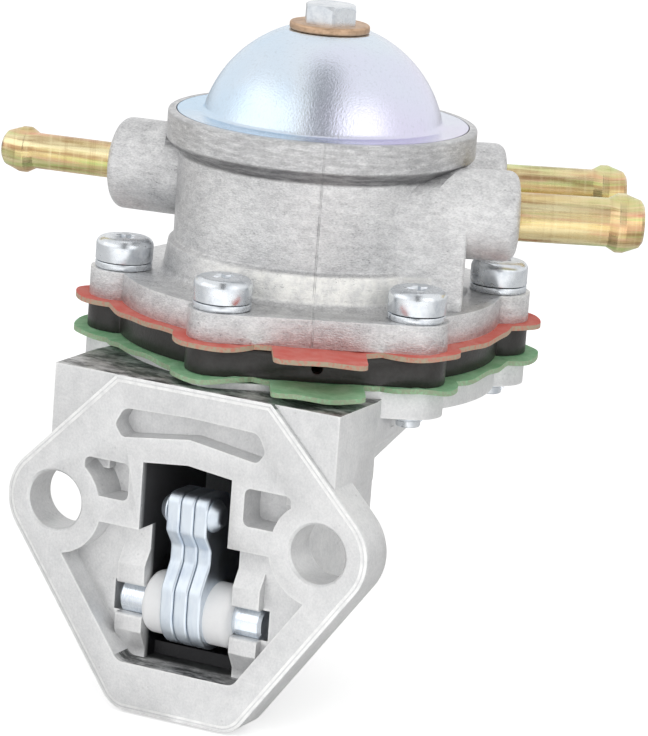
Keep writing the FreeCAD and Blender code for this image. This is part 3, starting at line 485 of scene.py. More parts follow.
allRound = {"angle": -64.0, "turn": (-2.0, -1.5)}       # a turn below -1 is met on every side
bodyBands = [
    # Collar: dark turned lines as painted shade
    {"low": 57.0 * mm, "high": 62.2 * mm, "fade": 0.3 * mm, "radius": 25.8 * mm, **allRound,
     "color": (0.26, 0.26, 0.27, 1), "share": 0.45, "least": 0.1, "stretch": (0.16, 0.16, 1.0),
     "scale": 1700.0},
    # Painted shade under the collar, darkest in its groove
    {"low": 54.6 * mm, "high": 57.3 * mm, "fade": 0.5 * mm, "radius": 25.8 * mm, **allRound,
     "color": (0.10, 0.10, 0.105, 1), "share": 0.85, "least": 0.55, "stretch": (0.15, 0.15, 1.0),
     "scale": 1500.0},
    # Lower collar: a lighter machined finish, shown only on the side that faces the front, as a painted
    # highlight
    {"low": 35.4 * mm, "high": 40.3 * mm, "fade": 0.5 * mm, "radius": 27.0 * mm, "angle": -62.0,
     "turn": (0.55, 0.92), "color": (1.0, 0.99, 0.95, 1), "share": 1.0, "least": 0.45,
     "stretch": (1.0, 1.0, 1.0), "scale": 520.0},
]
# Painted shade colours for the window's inside, and the film of oil and painted shade on the shelf and the
# pocket's floor
housingShadeAndOil = {
    "half": 8.3 * mm, "front": 0.3 * mm, "fade": 1.2 * mm, "pocketTop": -1.9 * mm, "pocketDepth": 4.3 * mm,
    "windowTop": 12.0 * mm, "windowBottom": -24.6 * mm, "roofLow": -5.0 * mm, "back": 22.0 * mm,
    "shelf": 22.55 * mm, "shelfSpare": 0.6 * mm, "floor": -24.45 * mm, "floorSpare": 1.0 * mm,
    "darkBelow": -12.0 * mm, "palerAbove": 6.0 * mm, "downTurn": -0.2, "upTurn": 0.6,
    "streaks": 190.0, "streakStretch": (1.0, 2.4, 1.0),
    "deepShade": (0.016, 0.016, 0.018, 1), "upperShade": (0.13, 0.13, 0.135, 1), "oilAndShadeFilm": (0.085, 0.088, 0.088, 1),
}
# The corner shade colour, reach and share of each casting paint shade into its corners and recesses
castFinish = {
    "castBody": {
        "light": (0.88, 0.88, 0.88, 1), "dark": (0.42, 0.42, 0.43, 1), "pit": (0.12, 0.12, 0.12, 1),
        "cornerShade": (0.15, 0.15, 0.155, 1), "cornerShadeReach": 0.0035, "cornerShadeShare": 0.85, "edgeHighlightShare": 0.5,
        "tone": (0.36, 0.62), "rough": (0.26, 0.42), "metal": 0.72, "bands": bodyBands, "shadeAndOil": None,
        "bump": 0.8, "bumpDepth": 0.0002, "grain": 2400.0, "cloud": 520.0, "flow": (1.0, 1.0, 2.0),
        "pits": 0.25,
        "seam": {"angle": -62.0, "width": 0.20 * mm, "top": 62.0 * mm, "share": 0.28, "breaks": 330.0},
    },
    "castHousing": {
        "light": (0.83, 0.83, 0.83, 1), "dark": (0.67, 0.675, 0.68, 1), "pit": (0.2, 0.2, 0.2, 1),
        "cornerShade": (0.25, 0.25, 0.26, 1), "cornerShadeReach": 0.003, "cornerShadeShare": 0.35, "edgeHighlightShare": 0.9,
        "tone": (0.38, 0.60), "rough": (0.32, 0.46), "metal": 0.5, "bands": [], "shadeAndOil": housingShadeAndOil,
        "bump": 0.4, "bumpDepth": 0.00015, "grain": 2200.0, "cloud": 420.0, "flow": (1.2, 1.0, 1.0),
        "pits": 0.2, "seam": None,
    },
}
# Near white of the painted highlight on outer edges; each casting's edge share sets its strength
edgeHighlightColor = (0.98, 0.98, 0.97, 1)


def makeCast(name):
    finish = castFinish[name]
    material, tree, shader = newMaterial(name)
    cast = useGroup(tree, "cast", Grain_Scale=finish["grain"], Cloud_Scale=finish["cloud"],
                    Flow=finish["flow"], Pits=finish["pits"])
    tone = remap(tree, cast.outputs["Tone"], *finish["tone"])
    color = mixColors(tree, tone, finish["dark"], finish["light"])
    color = mixColors(tree, cast.outputs["Pit"], color, finish["pit"])
    height = cast.outputs["Height"]
    if finish["seam"]:
        seam = seamMask(tree, finish["seam"])
        shown = doMath(tree, "MULTIPLY", seam, finish["seam"]["share"])
        color = mixColors(tree, shown, color, finish["pit"])
        height = doMath(tree, "SUBTRACT", height, seam)
    # Bands round the body: turned lines, painted shade and a painted highlight
    for band in finish["bands"]:
        color = bandColor(tree, color, band)
    # Painted shade: corners and recesses are mixed towards a dark shade colour
    closed = useGroup(tree, "cornerShade", Reach=finish["cornerShadeReach"]).outputs["Mask"]
    color = mixColors(tree, doMath(tree, "MULTIPLY", closed, finish["cornerShadeShare"]), color, finish["cornerShade"])
    # Painted highlight: outer edges are mixed towards a near white
    edgeHighlightMask = useGroup(tree, "edges").outputs["Mask"]
    color = mixColors(tree, doMath(tree, "MULTIPLY", edgeHighlightMask, finish["edgeHighlightShare"]), color, edgeHighlightColor)
    # Painted shade inside the window and the pocket, and oil with painted shade on the shelf and the floor
    if finish["shadeAndOil"]:
        color = innerShadeAndOil(tree, color, finish["shadeAndOil"])
    tree.links.new(color, shader.inputs["Base Color"])
    linkRough(tree, shader, cast.outputs["Tone"], 0.35, 0.65, finish["rough"])
    shader.inputs["Metallic"].default_value = finish["metal"]
    addBump(tree, shader, height, finish["bump"], finish["bumpDepth"])
    return material


plainFinish = {
    "spacerBlack": {"color": (0.020, 0.018, 0.016, 1), "rough": 0.38, "bump": 0.35, "speckle": 0.5},
    "nylonWhite": {"color": (0.97, 0.975, 0.98, 1), "rough": 0.42, "bump": 0.08, "speckle": 0.1},
    "valveRubber": {"color": (0.02, 0.02, 0.02, 1), "rough": 0.6, "bump": 0.1, "speckle": 0.3},
}


plainGrain = {"mottleScale": 900.0, "grainScale": 2600.0, "paler": 0.7, "lift": 0.03, "roughSpread": 0.06}


def makePlain(name):
    finish = plainFinish[name]
    material, tree, shader = newMaterial(name)
    place = objectPlace(tree)
    mottle = noise(tree, place, plainGrain["mottleScale"], 5.0, 0.7)
    mottle = remap(tree, mottle, 0.35, 0.65, 0.0, finish["speckle"])
    paler = tuple(value * plainGrain["paler"] + plainGrain["lift"] for value in finish["color"][:3]) + (1,)
    tree.links.new(mixColors(tree, mottle, finish["color"], paler), shader.inputs["Base Color"])
    grain = noise(tree, place, plainGrain["grainScale"], 2.0)
    spread = plainGrain["roughSpread"]
    linkRough(tree, shader, grain, 0.3, 0.7, (finish["rough"] - spread, finish["rough"] + spread))
    addBump(tree, shader, grain, finish["bump"])
    return material


# Coated cloth membranes: a dyed face, and a paler edge where the sheet was cut
membraneFinish = {
    "membraneRed": {"color": (0.70, 0.14, 0.11, 1), "worn": (0.74, 0.23, 0.19, 1),
                    "edge": (0.50, 0.42, 0.30, 1)},
    "membraneGreen": {"color": (0.26, 0.60, 0.32, 1), "worn": (0.40, 0.74, 0.46, 1),
                      "edge": (0.36, 0.44, 0.29, 1)},
}
cloth = {"frayScale": 1800.0, "cloudScale": 420.0, "weaveScale": 3200.0, "rough": 0.72, "bump": 0.4,
         "bumpDepth": 0.12 * mm}


def makeMembrane(name):
    finish = membraneFinish[name]
    material, tree, shader = newMaterial(name)
    coords = addNode(tree, "ShaderNodeTexCoord")
    place = coords.outputs["Object"]
    upright = doMath(tree, "ABSOLUTE", split(tree, coords.outputs["Normal"])[2])
    cut = remap(tree, upright, 0.35, 0.75, 1.0, 0.0)
    frayed = remap(tree, noise(tree, place, cloth["frayScale"], 4.0, 0.7), 0.38, 0.55, 0.35, 1.0)
    cloudy = remap(tree, noise(tree, place, cloth["cloudScale"], 4.0, 0.6), 0.38, 0.66)
    color = mixColors(tree, cloudy, finish["color"], finish["worn"])
    color = mixColors(tree, doMath(tree, "MULTIPLY", cut, frayed), color, finish["edge"])
    tree.links.new(color, shader.inputs["Base Color"])
    shader.inputs["Roughness"].default_value = cloth["rough"]
    weave = noise(tree, place, cloth["weaveScale"], 3.0, 0.6)
    addBump(tree, shader, weave, cloth["bump"], cloth["bumpDepth"])
    return material


# Plated and bare metals; lines run along the axis where stretch is small
steelFinish = {
    "zincFastener": {"color": (0.75, 0.78, 0.81, 1), "tint": (0.56, 0.60, 0.65, 1), "rough": (0.20, 0.36),
                     "stretch": (1.0, 1.0, 1.0), "lines": 900.0},
    "armSteel": {"color": (0.70, 0.76, 0.82, 1), "tint": (0.56, 0.63, 0.72, 1), "rough": (0.32, 0.48),
                 "stretch": (1.0, 0.25, 0.25), "lines": 700.0},
    "pinSteel": {"color": (0.86, 0.91, 0.96, 1), "tint": (0.62, 0.69, 0.78, 1), "rough": (0.16, 0.28),
                 "stretch": (6.0, 1.0, 1.0), "lines": 900.0},
    "washerCopper": {"color": (0.62, 0.43, 0.29, 1), "tint": (0.40, 0.26, 0.17, 1), "rough": (0.34, 0.52),
                     "stretch": (1.0, 1.0, 2.0), "lines": 1300.0},
    "springSteel": {"color": (0.50, 0.52, 0.54, 1), "tint": (0.36, 0.37, 0.38, 1), "rough": (0.25, 0.4),
                    "stretch": (1.0, 1.0, 1.0), "lines": 1500.0},
    "innerSteel": {"color": (0.60, 0.61, 0.62, 1), "tint": (0.45, 0.46, 0.47, 1), "rough": (0.3, 0.45),
                   "stretch": (1.0, 1.0, 1.0), "lines": 700.0},
    "valveBrass": {"color": (0.70, 0.54, 0.28, 1), "tint": (0.52, 0.39, 0.20, 1), "rough": (0.25, 0.4),
                   "stretch": (1.0, 1.0, 1.0), "lines": 900.0},
    "gauze": {"color": (0.55, 0.55, 0.52, 1), "tint": (0.4, 0.4, 0.38, 1), "rough": (0.3, 0.45),
              "stretch": (1.0, 1.0, 1.0), "lines": 2500.0},
}


steelCloud = {"scale": 260.0, "bump": 0.15}


def makeSteel(name):
    finish = steelFinish[name]
    material, tree, shader = newMaterial(name)
    marks = useGroup(tree, "lines", Stretch=finish["stretch"], Scale=finish["lines"])
    cloud = noise(tree, objectPlace(tree), steelCloud["scale"], 4.0, 0.6)
    tone = doMath(tree, "MULTIPLY", marks.outputs["Mask"], remap(tree, cloud, 0.35, 0.65))
    tree.links.new(mixColors(tree, tone, finish["color"], finish["tint"]), shader.inputs["Base Color"])
    linkRough(tree, shader, cloud, 0.3, 0.7, finish["rough"])
    shader.inputs["Metallic"].default_value = 1.0
    addBump(tree, shader, marks.outputs["Height"], steelCloud["bump"])
    return material


# Blue zinc plate on the spun cap: pale, with a speckled darker grain
domeFinish = {
    "color": (0.72, 0.79, 0.87, 1), "blue": (0.50, 0.71, 0.90, 1), "lilac": (0.73, 0.71, 0.87, 1),
    "blueSide": (4.0 * mm, -22.0 * mm), "lilacSide": (4.0 * mm, 24.0 * mm), "drift": 6.0 * mm,
    "driftScale": 60.0, "speck": (0.38, 0.42, 0.50, 1), "speckStretch": (1.0, 1.0, 0.5),
    "speckScale": 2600.0, "grainScale": 3000.0, "rough": (0.16, 0.24), "bump": 0.6,
}


def makeDome():
    finish = domeFinish
    material, tree, shader = newMaterial("domeZinc")
    place = objectPlace(tree)
    drift = noise(tree, place, finish["driftScale"], 2.0)
    drift = remap(tree, drift, 0.35, 0.65, -finish["drift"], finish["drift"])
    side = doMath(tree, "ADD", split(tree, place)[0], drift)
    color = mixColors(tree, remap(tree, side, *finish["blueSide"]), finish["color"], finish["blue"])
    color = mixColors(tree, remap(tree, side, *finish["lilacSide"]), color, finish["lilac"])
    specks = noise(tree, stretch(tree, place, finish["speckStretch"]), finish["speckScale"], 3.0, 0.7)
    specks = remap(tree, specks, 0.56, 0.68, 0.0, 0.2)
    tree.links.new(mixColors(tree, specks, color, finish["speck"]), shader.inputs["Base Color"])
    grain = noise(tree, place, finish["grainScale"], 3.0, 0.65)
    linkRough(tree, shader, grain, 0.35, 0.65, finish["rough"])
    shader.inputs["Metallic"].default_value = 1.0
    addBump(tree, shader, grain, finish["bump"])
    return material


# Yellow chromate on the hose tubes: gold with pink, green and olive streaks along each tube
goldFinish = {
    "gold": (0.72, 0.55, 0.25, 1), "pale": (0.86, 0.76, 0.46, 1), "pink": (0.78, 0.38, 0.27, 1),
    "green": (0.50, 0.62, 0.22, 1), "brown": (0.36, 0.20, 0.09, 1), "rough": (0.20, 0.34),
    "stretch": (0.10, 0.10, 1.6), "paleScale": 260.0, "grainScale": 1500.0, "bump": 0.12,
    "streaks": (("pink", 330.0, 0.9), ("green", 410.0, 0.85), ("brown", 560.0, 0.75)),
    "ringAngle": 30.0, "ringScale": 700.0,
}


def makeGold():
    finish = goldFinish
    material, tree, shader = newMaterial("spigotGold")
    place = objectPlace(tree)
    lengthwise = stretch(tree, place, finish["stretch"])
    pale = remap(tree, noise(tree, lengthwise, finish["paleScale"], 3.0, 0.6), 0.38, 0.62)
    color = mixColors(tree, pale, finish["gold"], finish["pale"])
    for label, scale, share in finish["streaks"]:
        shifted = addNode(tree, "ShaderNodeVectorMath", operation="ADD")
        tree.links.new(lengthwise, shifted.inputs[0])
        shifted.inputs[1].default_value = (scale, scale / 3, scale / 7)
        mask = remap(tree, noise(tree, shifted.outputs[0], scale, 3.0, 0.6), 0.50, 0.66, 0.0, share)
        color = mixColors(tree, mask, color, finish[label])
    angle = math.radians(finish["ringAngle"])
    line = addNode(tree, "ShaderNodeCombineXYZ")
    tree.links.new(dot(tree, place, (math.cos(angle), math.sin(angle), 0)), line.inputs[0])
    rings = noise(tree, line.outputs[0], finish["ringScale"], 3.0, 0.7)
    color = mixColors(tree, remap(tree, rings, 0.50, 0.68, 0.0, 0.45), color, finish["pale"])
    color = mixColors(tree, remap(tree, rings, 0.46, 0.32, 0.0, 0.40), color, finish["brown"])
    tree.links.new(color, shader.inputs["Base Color"])
    grain = noise(tree, lengthwise, finish["grainScale"], 3.0, 0.6)
    linkRough(tree, shader, grain, 0.3, 0.7, finish["rough"])
    shader.inputs["Metallic"].default_value = 1.0
    addBump(tree, shader, grain, finish["bump"])
    return material


materials = {name: makeCast(name) for name in castFinish}
materials.update({name: makePlain(name) for name in plainFinish})
materials.update({name: makeMembrane(name) for name in membraneFinish})
materials.update({name: makeSteel(name) for name in steelFinish})
materials["domeZinc"] = makeDome()
materials["spigotGold"] = makeGold()

finishOfSlot = {
    "cast_body": "castBody", "cast_housing": "castHousing", "spacer_black": "spacerBlack",
    "membrane_red": "membraneRed", "membrane_green": "membraneGreen", "zinc_fastener": "zincFastener",
    "arm_steel": "armSteel", "pin_steel": "pinSteel", "nylon_white": "nylonWhite", "dome_zinc": "domeZinc",
    "spigot_gold": "spigotGold", "washer_copper": "washerCopper", "spring_steel": "springSteel",
    "inner_steel": "innerSteel", "valve_brass": "valveBrass", "valve_rubber": "valveRubber",
    "gauze": "gauze",
}
slotOfNode = {part["node"]: part["material_slot"] for part in frame["record"]["subparts"]}
for name, node in nodes.items():
    node.data.materials.clear()
    node.data.materials.append(materials[finishOfSlot[slotOfNode[name]]])
print("materials assigned")


# Castings and moulded rings: the edges are rounded a little on a merged copy of the part
softened = {
    "lower_housing": {"name": "lowerHousing", "width": 0.30 * mm, "segments": 2, "clamp": True},
    "upper_body": {"name": "upperBody", "width": 0.35 * mm, "segments": 2, "clamp": True},
    "spacer_ring": {"name": "spacerRing", "width": 0.25 * mm, "segments": 2, "clamp": False},
}
softAngle = 35.0             # edges sharper than this are rounded, in degrees
mountingEdge = {"round": 0.55 * mm, "segments": 3, "plane": 0.01 * mm}
merge = {"gap": 0.002 * mm, "flatAngle": 0.6}


def copyNode(nodeName):
    deselectAll()
    piece = bpy.data.objects.new(nodeName, nodes[nodeName].data.copy())
    scene.collection.objects.link(piece)
    makeActive(piece)
    bpy.ops.object.mode_set(mode="EDIT")
    bpy.ops.mesh.select_all(action="SELECT")
    bpy.ops.mesh.remove_doubles(threshold=merge["gap"])
    bpy.ops.mesh.dissolve_limited(angle_limit=math.radians(merge["flatAngle"]))
    bpy.ops.object.mode_set(mode="OBJECT")
    bpy.ops.mesh.customdata_custom_splitnormals_clear()
    return piece


def roundMountingEdge(piece):
    # The outline of the mounting face is the hull of what lies in the plane y = 0
    editMesh(piece, "EDGE")
    bpy.ops.mesh.select_all(action="DESELECT")
    bpy.ops.object.mode_set(mode="OBJECT")
    flat = [vertex for vertex in piece.data.vertices if abs(vertex.co.y) < mountingEdge["plane"]]
    hull = convex_hull_2d([(vertex.co.x, vertex.co.z) for vertex in flat])
    outline = {flat[index].index for index in hull}
    for edge in piece.data.edges:
        edge.select = all(index in outline for index in edge.vertices)
    bpy.ops.object.mode_set(mode="EDIT")
    bpy.ops.mesh.bevel(offset=mountingEdge["round"], segments=mountingEdge["segments"], affect="EDGES")
    bpy.ops.object.mode_set(mode="OBJECT")


def makeSoftened(nodeName):
    made = softened[nodeName]
    piece = copyNode(nodeName)
    if nodeName == "lower_housing":
        roundMountingEdge(piece)
    applyModifier(piece, "BEVEL", width=made["width"], segments=made["segments"], limit_method="ANGLE",
                  angle_limit=math.radians(softAngle), use_clamp_overlap=made["clamp"])
    finishPiece(piece, made["name"], "pump", slotOfNode[nodeName], nodeName)


for nodeName in softened:
    makeSoftened(nodeName)
print("castings softened")


# Pan-head screws with a cross recess, and the thread on the tip that stands out below the rim
flangeScrew = {
    "circleRadius": 31.13 * mm, "firstAngle": 30.0, "count": 6, "firstTurn": 20.0, "turnStep": 77.0,
    "headRadius": 4.75 * mm, "headHeight": 3.9 * mm, "headRound": 1.3 * mm, "seatRound": 0.2 * mm,
    "shankRadius": 2.5 * mm, "tipRound": 0.35 * mm, "pitch": 0.8 * mm, "threadLength": 6.4 * mm,
    "threadDepth": 0.5 * mm, "threadSunk": 0.05 * mm, "threadStart": 0.45 * mm, "threadSteps": 24,
    "crestShare": 0.06, "rootShare": 0.02, "threadMerge": 0.001 * mm,
    "headSides": 64, "headSteps": 8, "shankSides": 32, "edgeSteps": 2,
    "recessLength": 5.4 * mm, "recessWidth": 1.9 * mm, "recessDepth": 1.3 * mm, "recessTaper": 0.35,
}
washer = {"inner": 2.65 * mm, "outer": 4.72 * mm, "thickness": 1.05 * mm, "rise": 0.12 * mm, "gap": 8.0,
          "firstTurn": 200.0, "steps": 64, "edge": 0.12 * mm, "edgeAngle": 40.0}
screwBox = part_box("flange_screws")
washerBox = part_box("spring_washers")


def screwPlace(index):
    angle = math.radians(flangeScrew["firstAngle"] + index * 360.0 / flangeScrew["count"])
    reach = flangeScrew["circleRadius"]
    return Vector((reach * math.cos(angle), axisDepth + reach * math.sin(angle), 0))


def makeHead(low):
    size = flangeScrew
    head = addCylinder(size["headRadius"], low, low + size["headHeight"], size["headSides"])
    roundEnd(head, 1, size["headRound"], size["headSteps"])
    roundEnd(head, -1, size["seatRound"], size["edgeSteps"])
    return head


def cutRecess(head, top):
    size = flangeScrew
    for turn in (0, 90):
        deselectAll()
        depth = size["recessDepth"] * 2
        bpy.ops.mesh.primitive_cube_add(size=1.0, location=(0, 0, top))
        wing = bpy.context.object
        wing.scale = (size["recessLength"], size["recessWidth"], depth)
        wing.rotation_euler = (0, 0, math.radians(turn))
        applyPlace(wing)
        selectEnd(wing, -1)
        taper = size["recessTaper"]
        bpy.ops.transform.resize(value=(taper, taper, 1), center_override=(0, 0, top))
        bpy.ops.object.mode_set(mode="OBJECT")
        applyModifier(head, "BOOLEAN", operation="DIFFERENCE", object=wing, solver="EXACT")
        bpy.data.objects.remove(wing)


def makeShank(low, high):
    size = flangeScrew
    core = size["shankRadius"] - size["threadDepth"]
    threadTop = low + size["threadLength"]
    shank = addCylinder(size["shankRadius"], threadTop, high, size["shankSides"])
    tip = addCylinder(core, low, threadTop + size["pitch"], size["shankSides"])
    roundEnd(tip, -1, size["tipRound"], size["edgeSteps"])
    return [shank, tip, makeThread(low + size["threadStart"], core)]


def makeThread(low, core):
    size = flangeScrew
    pitch = size["pitch"]
    deselectAll()
    bpy.ops.mesh.primitive_circle_add(vertices=4, radius=pitch / 2)
    thread = bpy.context.object
    root = core - size["threadSunk"]
    crest = size["shankRadius"]
    corners = ((root, size["rootShare"]), (crest, 0.5 - size["crestShare"]),
               (crest, 0.5 + size["crestShare"]), (root, 1 - size["rootShare"]))
    for vertex, (radius, share) in zip(thread.data.vertices, corners):
        vertex.co = (radius, 0, low + share * pitch)
    turns = int((size["threadLength"] - pitch) / pitch)
    applyModifier(thread, "SCREW", angle=math.tau, screw_offset=pitch, iterations=turns,
                  steps=size["threadSteps"], render_steps=size["threadSteps"], use_merge_vertices=False,
                  axis="Z")
    editMesh(thread, "EDGE")
    bpy.ops.mesh.select_all(action="SELECT")
    bpy.ops.mesh.remove_doubles(threshold=size["threadMerge"])
    closeEnds(thread)
    return thread


def placeAll(first, label, replaced, firstTurn):
    # One copy at each screw, every one turned a little further
    for index in range(flangeScrew["count"]):
        piece = copyPiece(first)
        piece.location = screwPlace(index)
        piece.rotation_euler = (0, 0, math.radians(firstTurn + index * flangeScrew["turnStep"]))
        finishPiece(piece, f"{label}{index + 1}", "pump", "zinc_fastener", replaced,
                    smoothAngle=30)
    bpy.data.objects.remove(first)


def makeScrews():
    low, high = screwBox[0].z, screwBox[1].z
    underHead = high - flangeScrew["headHeight"]
    head = makeHead(underHead)
    cutRecess(head, high)
    first = joinPieces([head] + makeShank(low, underHead))
    placeAll(first, "flangeScrew", "flange_screws", flangeScrew["firstTurn"])


# Split spring washers: one open turn that rises a little from end to end
def makeWasher():
    size = washer
    low = washerBox[0].z
    deselectAll()
    bpy.ops.mesh.primitive_plane_add(size=1.0)
    ring = bpy.context.object
    half = (size["outer"] - size["inner"]) / 2
    middle = size["inner"] + half
    for vertex in ring.data.vertices:
        vertex.co = (middle + math.copysign(half, vertex.co.x), 0,
                     low + size["thickness"] * (0.5 + math.copysign(0.5, vertex.co.y)))
    editMesh(ring)
    bpy.ops.mesh.select_all(action="SELECT")
    span = math.radians(360.0 - size["gap"])
    bpy.ops.mesh.spin(steps=size["steps"], angle=span, center=(0, 0, 0), axis=(0, 0, 1))
    bpy.ops.object.mode_set(mode="OBJECT")
    for vertex in ring.data.vertices:
        turn = math.atan2(vertex.co.y, vertex.co.x) % math.tau
        vertex.co.z += size["rise"] * min(turn / span, 1.0)
    recalculateNormals(ring)
    applyModifier(ring, "BEVEL", width=size["edge"], segments=2, limit_method="ANGLE",
                  angle_limit=math.radians(size["edgeAngle"]))
    return ring


makeScrews()
placeAll(makeWasher(), "springWasher", "spring_washers", washer["firstTurn"])
print("screws and washers made")


# Membranes: their free lips lie in slow waves, while the clamped part stays flat
membrane = {
    "fuel_diaphragm": {"name": "fuelDiaphragm", "seed": 0.0, "wave": 0.28 * mm},
    "safety_diaphragm": {"name": "safetyDiaphragm", "seed": 0.37, "wave": 0.50 * mm},
}
stackOutline = {"discRadius": 31.6 * mm, "lobeRadius": 5.4 * mm}
membraneCell = 2.0 * mm
membraneLip = 1.0 * mm       # a lip is fully free this far outside the clamped outline
lipStart = 0.4               # share of that width where it starts to lift
lipWave = {"slow": 9, "slowShift": 20, "quick": 23, "quickShift": 7, "quickShare": 0.6, "height": 0.6}


def insideStack(place, spare):
    # True where the point lies under the stack's round disc or one of its lobes
    flat = Vector((place.x, place.y - axisDepth))
    if flat.length < stackOutline["discRadius"] + spare:
        return True
    for index in range(flangeScrew["count"]):
        centre = screwPlace(index)
        centre = Vector((centre.x, centre.y - axisDepth))
        if (flat - centre).length < stackOutline["lobeRadius"] + spare:
            return True
    return False


def makeMembranePiece(nodeName):
    made = membrane[nodeName]
    piece = copyNode(nodeName)
    low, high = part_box(nodeName)
    for axis in (0, 1):
        level = low[axis] + membraneCell
        while level < high[axis]:
            editMesh(piece)
            bpy.ops.mesh.select_all(action="SELECT")
            point = [0, 0, 0]
            point[axis] = level
            normal = [0, 0, 0]
            normal[axis] = 1
            bpy.ops.mesh.bisect(plane_co=point, plane_no=normal)
            level += membraneCell
    bpy.ops.object.mode_set(mode="OBJECT")
    for vertex in piece.data.vertices:
        if insideStack(vertex.co, membraneLip * lipStart):
            continue
        share = lipStart if insideStack(vertex.co, membraneLip) else 1.0
        turn = math.atan2(vertex.co.y - axisDepth, vertex.co.x)
        slow = math.sin(turn * lipWave["slow"] + made["seed"] * lipWave["slowShift"])
        quick = math.sin(turn * lipWave["quick"] + made["seed"] * lipWave["quickShift"])
        vertex.co.z += made["wave"] * share * (slow + lipWave["quickShare"] * quick) * lipWave["height"]
    finishPiece(piece, made["name"], "pump", slotOfNode[nodeName], nodeName, smoothAngle=50)


for nodeName in membrane:
    makeMembranePiece(nodeName)
print("membranes made")


# Coil springs with closed ends, each scaled to the height of its part
coil = {
    "arm_return_spring": {"name": "armReturnSpring", "radius": 3.4 * mm, "wire": 0.5 * mm, "turns": 5.0,
                          "joint": "arm_pivot", "keep": 0.84},
    "diaphragm_spring": {"name": "diaphragmSpring", "radius": 7.6 * mm, "wire": 0.8 * mm, "turns": 6.0,
                         "joint": "rod_slide", "keep": 0.67},
    "inlet_valve_spring": {"name": "inletValveSpring", "radius": 2.2 * mm, "wire": 0.3 * mm, "turns": 4.0,
                           "joint": "inlet_valve_slide", "keep": 0.72},
    "outlet_valve_spring": {"name": "outletValveSpring", "radius": 2.2 * mm, "wire": 0.3 * mm, "turns": 4.0,
                            "joint": "outlet_valve_slide", "keep": 0.72},
}
wireSides = 12
coilSteps = 24               # faces along one turn of the wire
closedTurns = 0.9            # part of a turn that lies flat at each end


def makeCoil(nodeName):
    size = coil[nodeName]
    low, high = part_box(nodeName)
    deselectAll()
    bpy.ops.mesh.primitive_circle_add(vertices=wireSides, radius=size["wire"],
                                      location=(size["radius"], 0, 0), rotation=(math.radians(90), 0, 0))
    piece = bpy.context.object
    applyPlace(piece)
    height = high.z - low.z - 2 * size["wire"]
    turns = size["turns"]
    steps = int(coilSteps * turns)
    applyModifier(piece, "SCREW", angle=math.tau * turns, screw_offset=height, steps=steps,
                  render_steps=steps, use_merge_vertices=False, axis="Z")
    closed = closedTurns / turns
    for vertex in piece.data.vertices:
        share = vertex.index // wireSides / (len(piece.data.vertices) / wireSides - 1)
        flat = min(max((share - closed) / (1 - 2 * closed), 0.0), 1.0)
        over = 2 * size["wire"] * (min(share / closed, 1.0) - 1.0 + max((share - 1 + closed) / closed, 0.0))
        vertex.co.z += height * (flat - share) + over * (1 - flat if share < 0.5 else flat)
    editMesh(piece, "EDGE")
    closeEnds(piece)
    lowest = min(vertex.co.z for vertex in piece.data.vertices)
    highest = max(vertex.co.z for vertex in piece.data.vertices)
    piece.scale = (1, 1, (high.z - low.z) / (highest - lowest))
    piece.location = ((low.x + high.x) / 2, (low.y + high.y) / 2, low.z - lowest * piece.scale.z)
    finishPiece(piece, size["name"], "pump", slotOfNode[nodeName], nodeName, smoothAngle=60)
    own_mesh(piece)


for nodeName in coil:
    makeCoil(nodeName)
print("springs wound")


# Floor, background and lights
stage = {"floorGap": 0.0004, "floorSize": 6.0, "floorColor": (0.93, 0.93, 0.93, 1), "rough": 0.9,
         "cameraLift": 0.50, "glossTurn": (0.2, 0.95), "glossLift": (0.0, 0.70), "softLight": 0.42}


def whiteShare(tree):
    path = addNode(tree, "ShaderNodeLightPath")
    direct = doMath(tree, "MAXIMUM", path.outputs["Is Camera Ray"], path.outputs["Is Transmission Ray"])
    return doMath(tree, "MAXIMUM", direct, path.outputs["Is Glossy Ray"])


def makeWorld():
    world = bpy.data.worlds.new("studio")
    world.use_nodes = True
    tree = world.node_tree
    soft = tree.nodes["Background"]
    setInputs(soft, Color=(1, 1, 1, 1), Strength=stage["softLight"])
    white = addNode(tree, "ShaderNodeBackground")
    setInputs(white, Color=(1, 1, 1, 1), Strength=1.0)
    mix = addNode(tree, "ShaderNodeMixShader")
    tree.links.new(whiteShare(tree), mix.inputs[0])
    tree.links.new(soft.outputs[0], mix.inputs[1])
    tree.links.new(white.outputs[0], mix.inputs[2])
    tree.links.new(mix.outputs[0], tree.nodes["World Output"].inputs["Surface"])
    scene.world = world


def makeFloor():
    deselectAll()
    level = cadBox[0].z - stage["floorGap"]
    bpy.ops.mesh.primitive_plane_add(size=stage["floorSize"], location=(0, 0, level))
    floor = bpy.context.object
    floor.name = "floor"
    material, tree, shader = newMaterial("floorPale")
    setInputs(shader, Base_Color=stage["floorColor"], Roughness=stage["rough"])
    shader.inputs["Emission Color"].default_value = (1, 1, 1, 1)
    path = addNode(tree, "ShaderNodeLightPath")
    seen = doMath(tree, "MULTIPLY", path.outputs["Is Camera Ray"], stage["cameraLift"])
    away = addNode(tree, "ShaderNodeVectorMath", operation="NORMALIZE")
    tree.links.new(objectPlace(tree), away.inputs[0])
    front = dot(tree, away.outputs[0], towards(view["azimuth"]))
    lift = remap(tree, front, *stage["glossTurn"], *stage["glossLift"])
    mirrored = doMath(tree, "MULTIPLY", path.outputs["Is Glossy Ray"], lift)
    tree.links.new(doMath(tree, "ADD", seen, mirrored), shader.inputs["Emission Strength"])
    floor.data.materials.append(material)


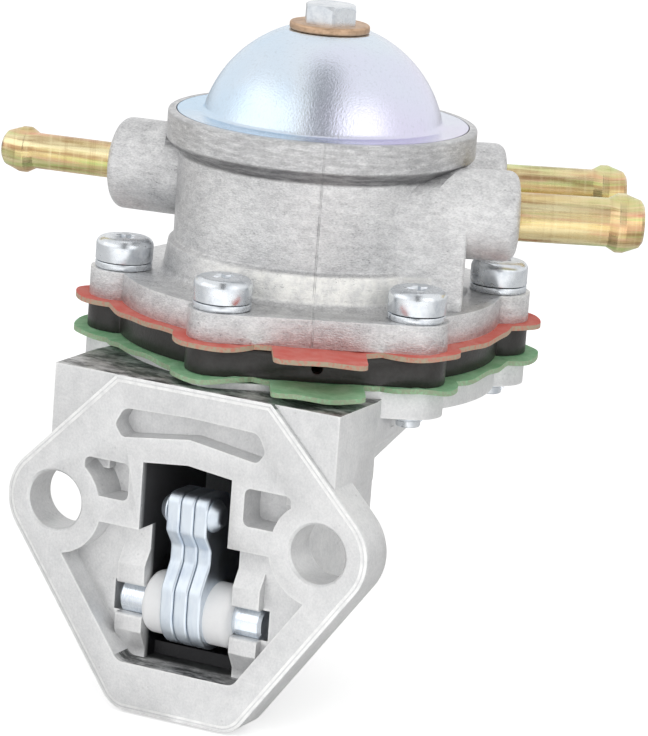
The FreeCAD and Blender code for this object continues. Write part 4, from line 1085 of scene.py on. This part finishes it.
# Soft boxes: azimuth is to the right of the mounting face, and power follows from the wanted brightness
lampDistance = 1.1
lamps = {
    "keyWide": {"azimuth": 20.0, "elevation": 36.0, "size": (1.1, 0.9), "brightness": 1.1,
                "mirrored": False},
    "keyLeft": {"azimuth": -38.0, "elevation": 26.0, "size": (1.3, 0.8), "brightness": 0.45,
                "mirrored": True},
    "fillRight": {"azimuth": 68.0, "elevation": 24.0, "size": (0.8, 0.8), "brightness": 0.55,
                  "mirrored": True},
    "topSoft": {"azimuth": 170.0, "elevation": 68.0, "size": (1.0, 1.0), "brightness": 0.8,
                "mirrored": False},
}


def makeLamps():
    centre = (cadBox[0] + cadBox[1]) / 2
    for name, lamp in lamps.items():
        away = towards(lamp["azimuth"], lamp["elevation"])
        data = bpy.data.lights.new(name, "AREA")
        data.shape = "RECTANGLE"
        data.size, data.size_y = lamp["size"]
        data.energy = lamp["brightness"] * math.pi * data.size * data.size_y
        light = bpy.data.objects.new(name, data)
        scene.collection.objects.link(light)
        light.location = centre + away * lampDistance
        light.rotation_euler = (-away).to_track_quat("-Z", "Y").to_euler()
        light.visible_glossy = lamp["mirrored"]


# A tall dark card above the camera, which only polished metal reflects
darkCard = {"distance": 1.6, "width": 0.40, "height": 2.8, "lean": 35.0, "base": -0.02,
            "color": (0.20, 0.20, 0.21, 1)}


def makeCard():
    deselectAll()
    lean = math.radians(darkCard["lean"])
    front = towards(view["azimuth"])
    bpy.ops.mesh.primitive_plane_add(size=1.0)
    card = bpy.context.object
    card.name = "darkCard"
    card.scale = (darkCard["width"], darkCard["height"], 1)
    card.rotation_euler = (math.radians(90) - lean, 0, math.radians(view["azimuth"]))
    rise = Vector((0, 0, 1)) * math.cos(lean) - front * math.sin(lean)
    foot = front * darkCard["distance"] + Vector((0, 0, darkCard["base"]))
    card.location = foot + rise * darkCard["height"] / 2
    material, _, shader = newMaterial("cardDark")
    setInputs(shader, Base_Color=darkCard["color"], Roughness=stage["rough"])
    card.data.materials.append(material)
    card.visible_camera = False
    card.visible_diffuse = False
    card.visible_shadow = False
    card.visible_transmission = False


makeWorld()
makeFloor()
makeLamps()
makeCard()
scene.view_settings.view_transform = "Standard"
print("stage lit")
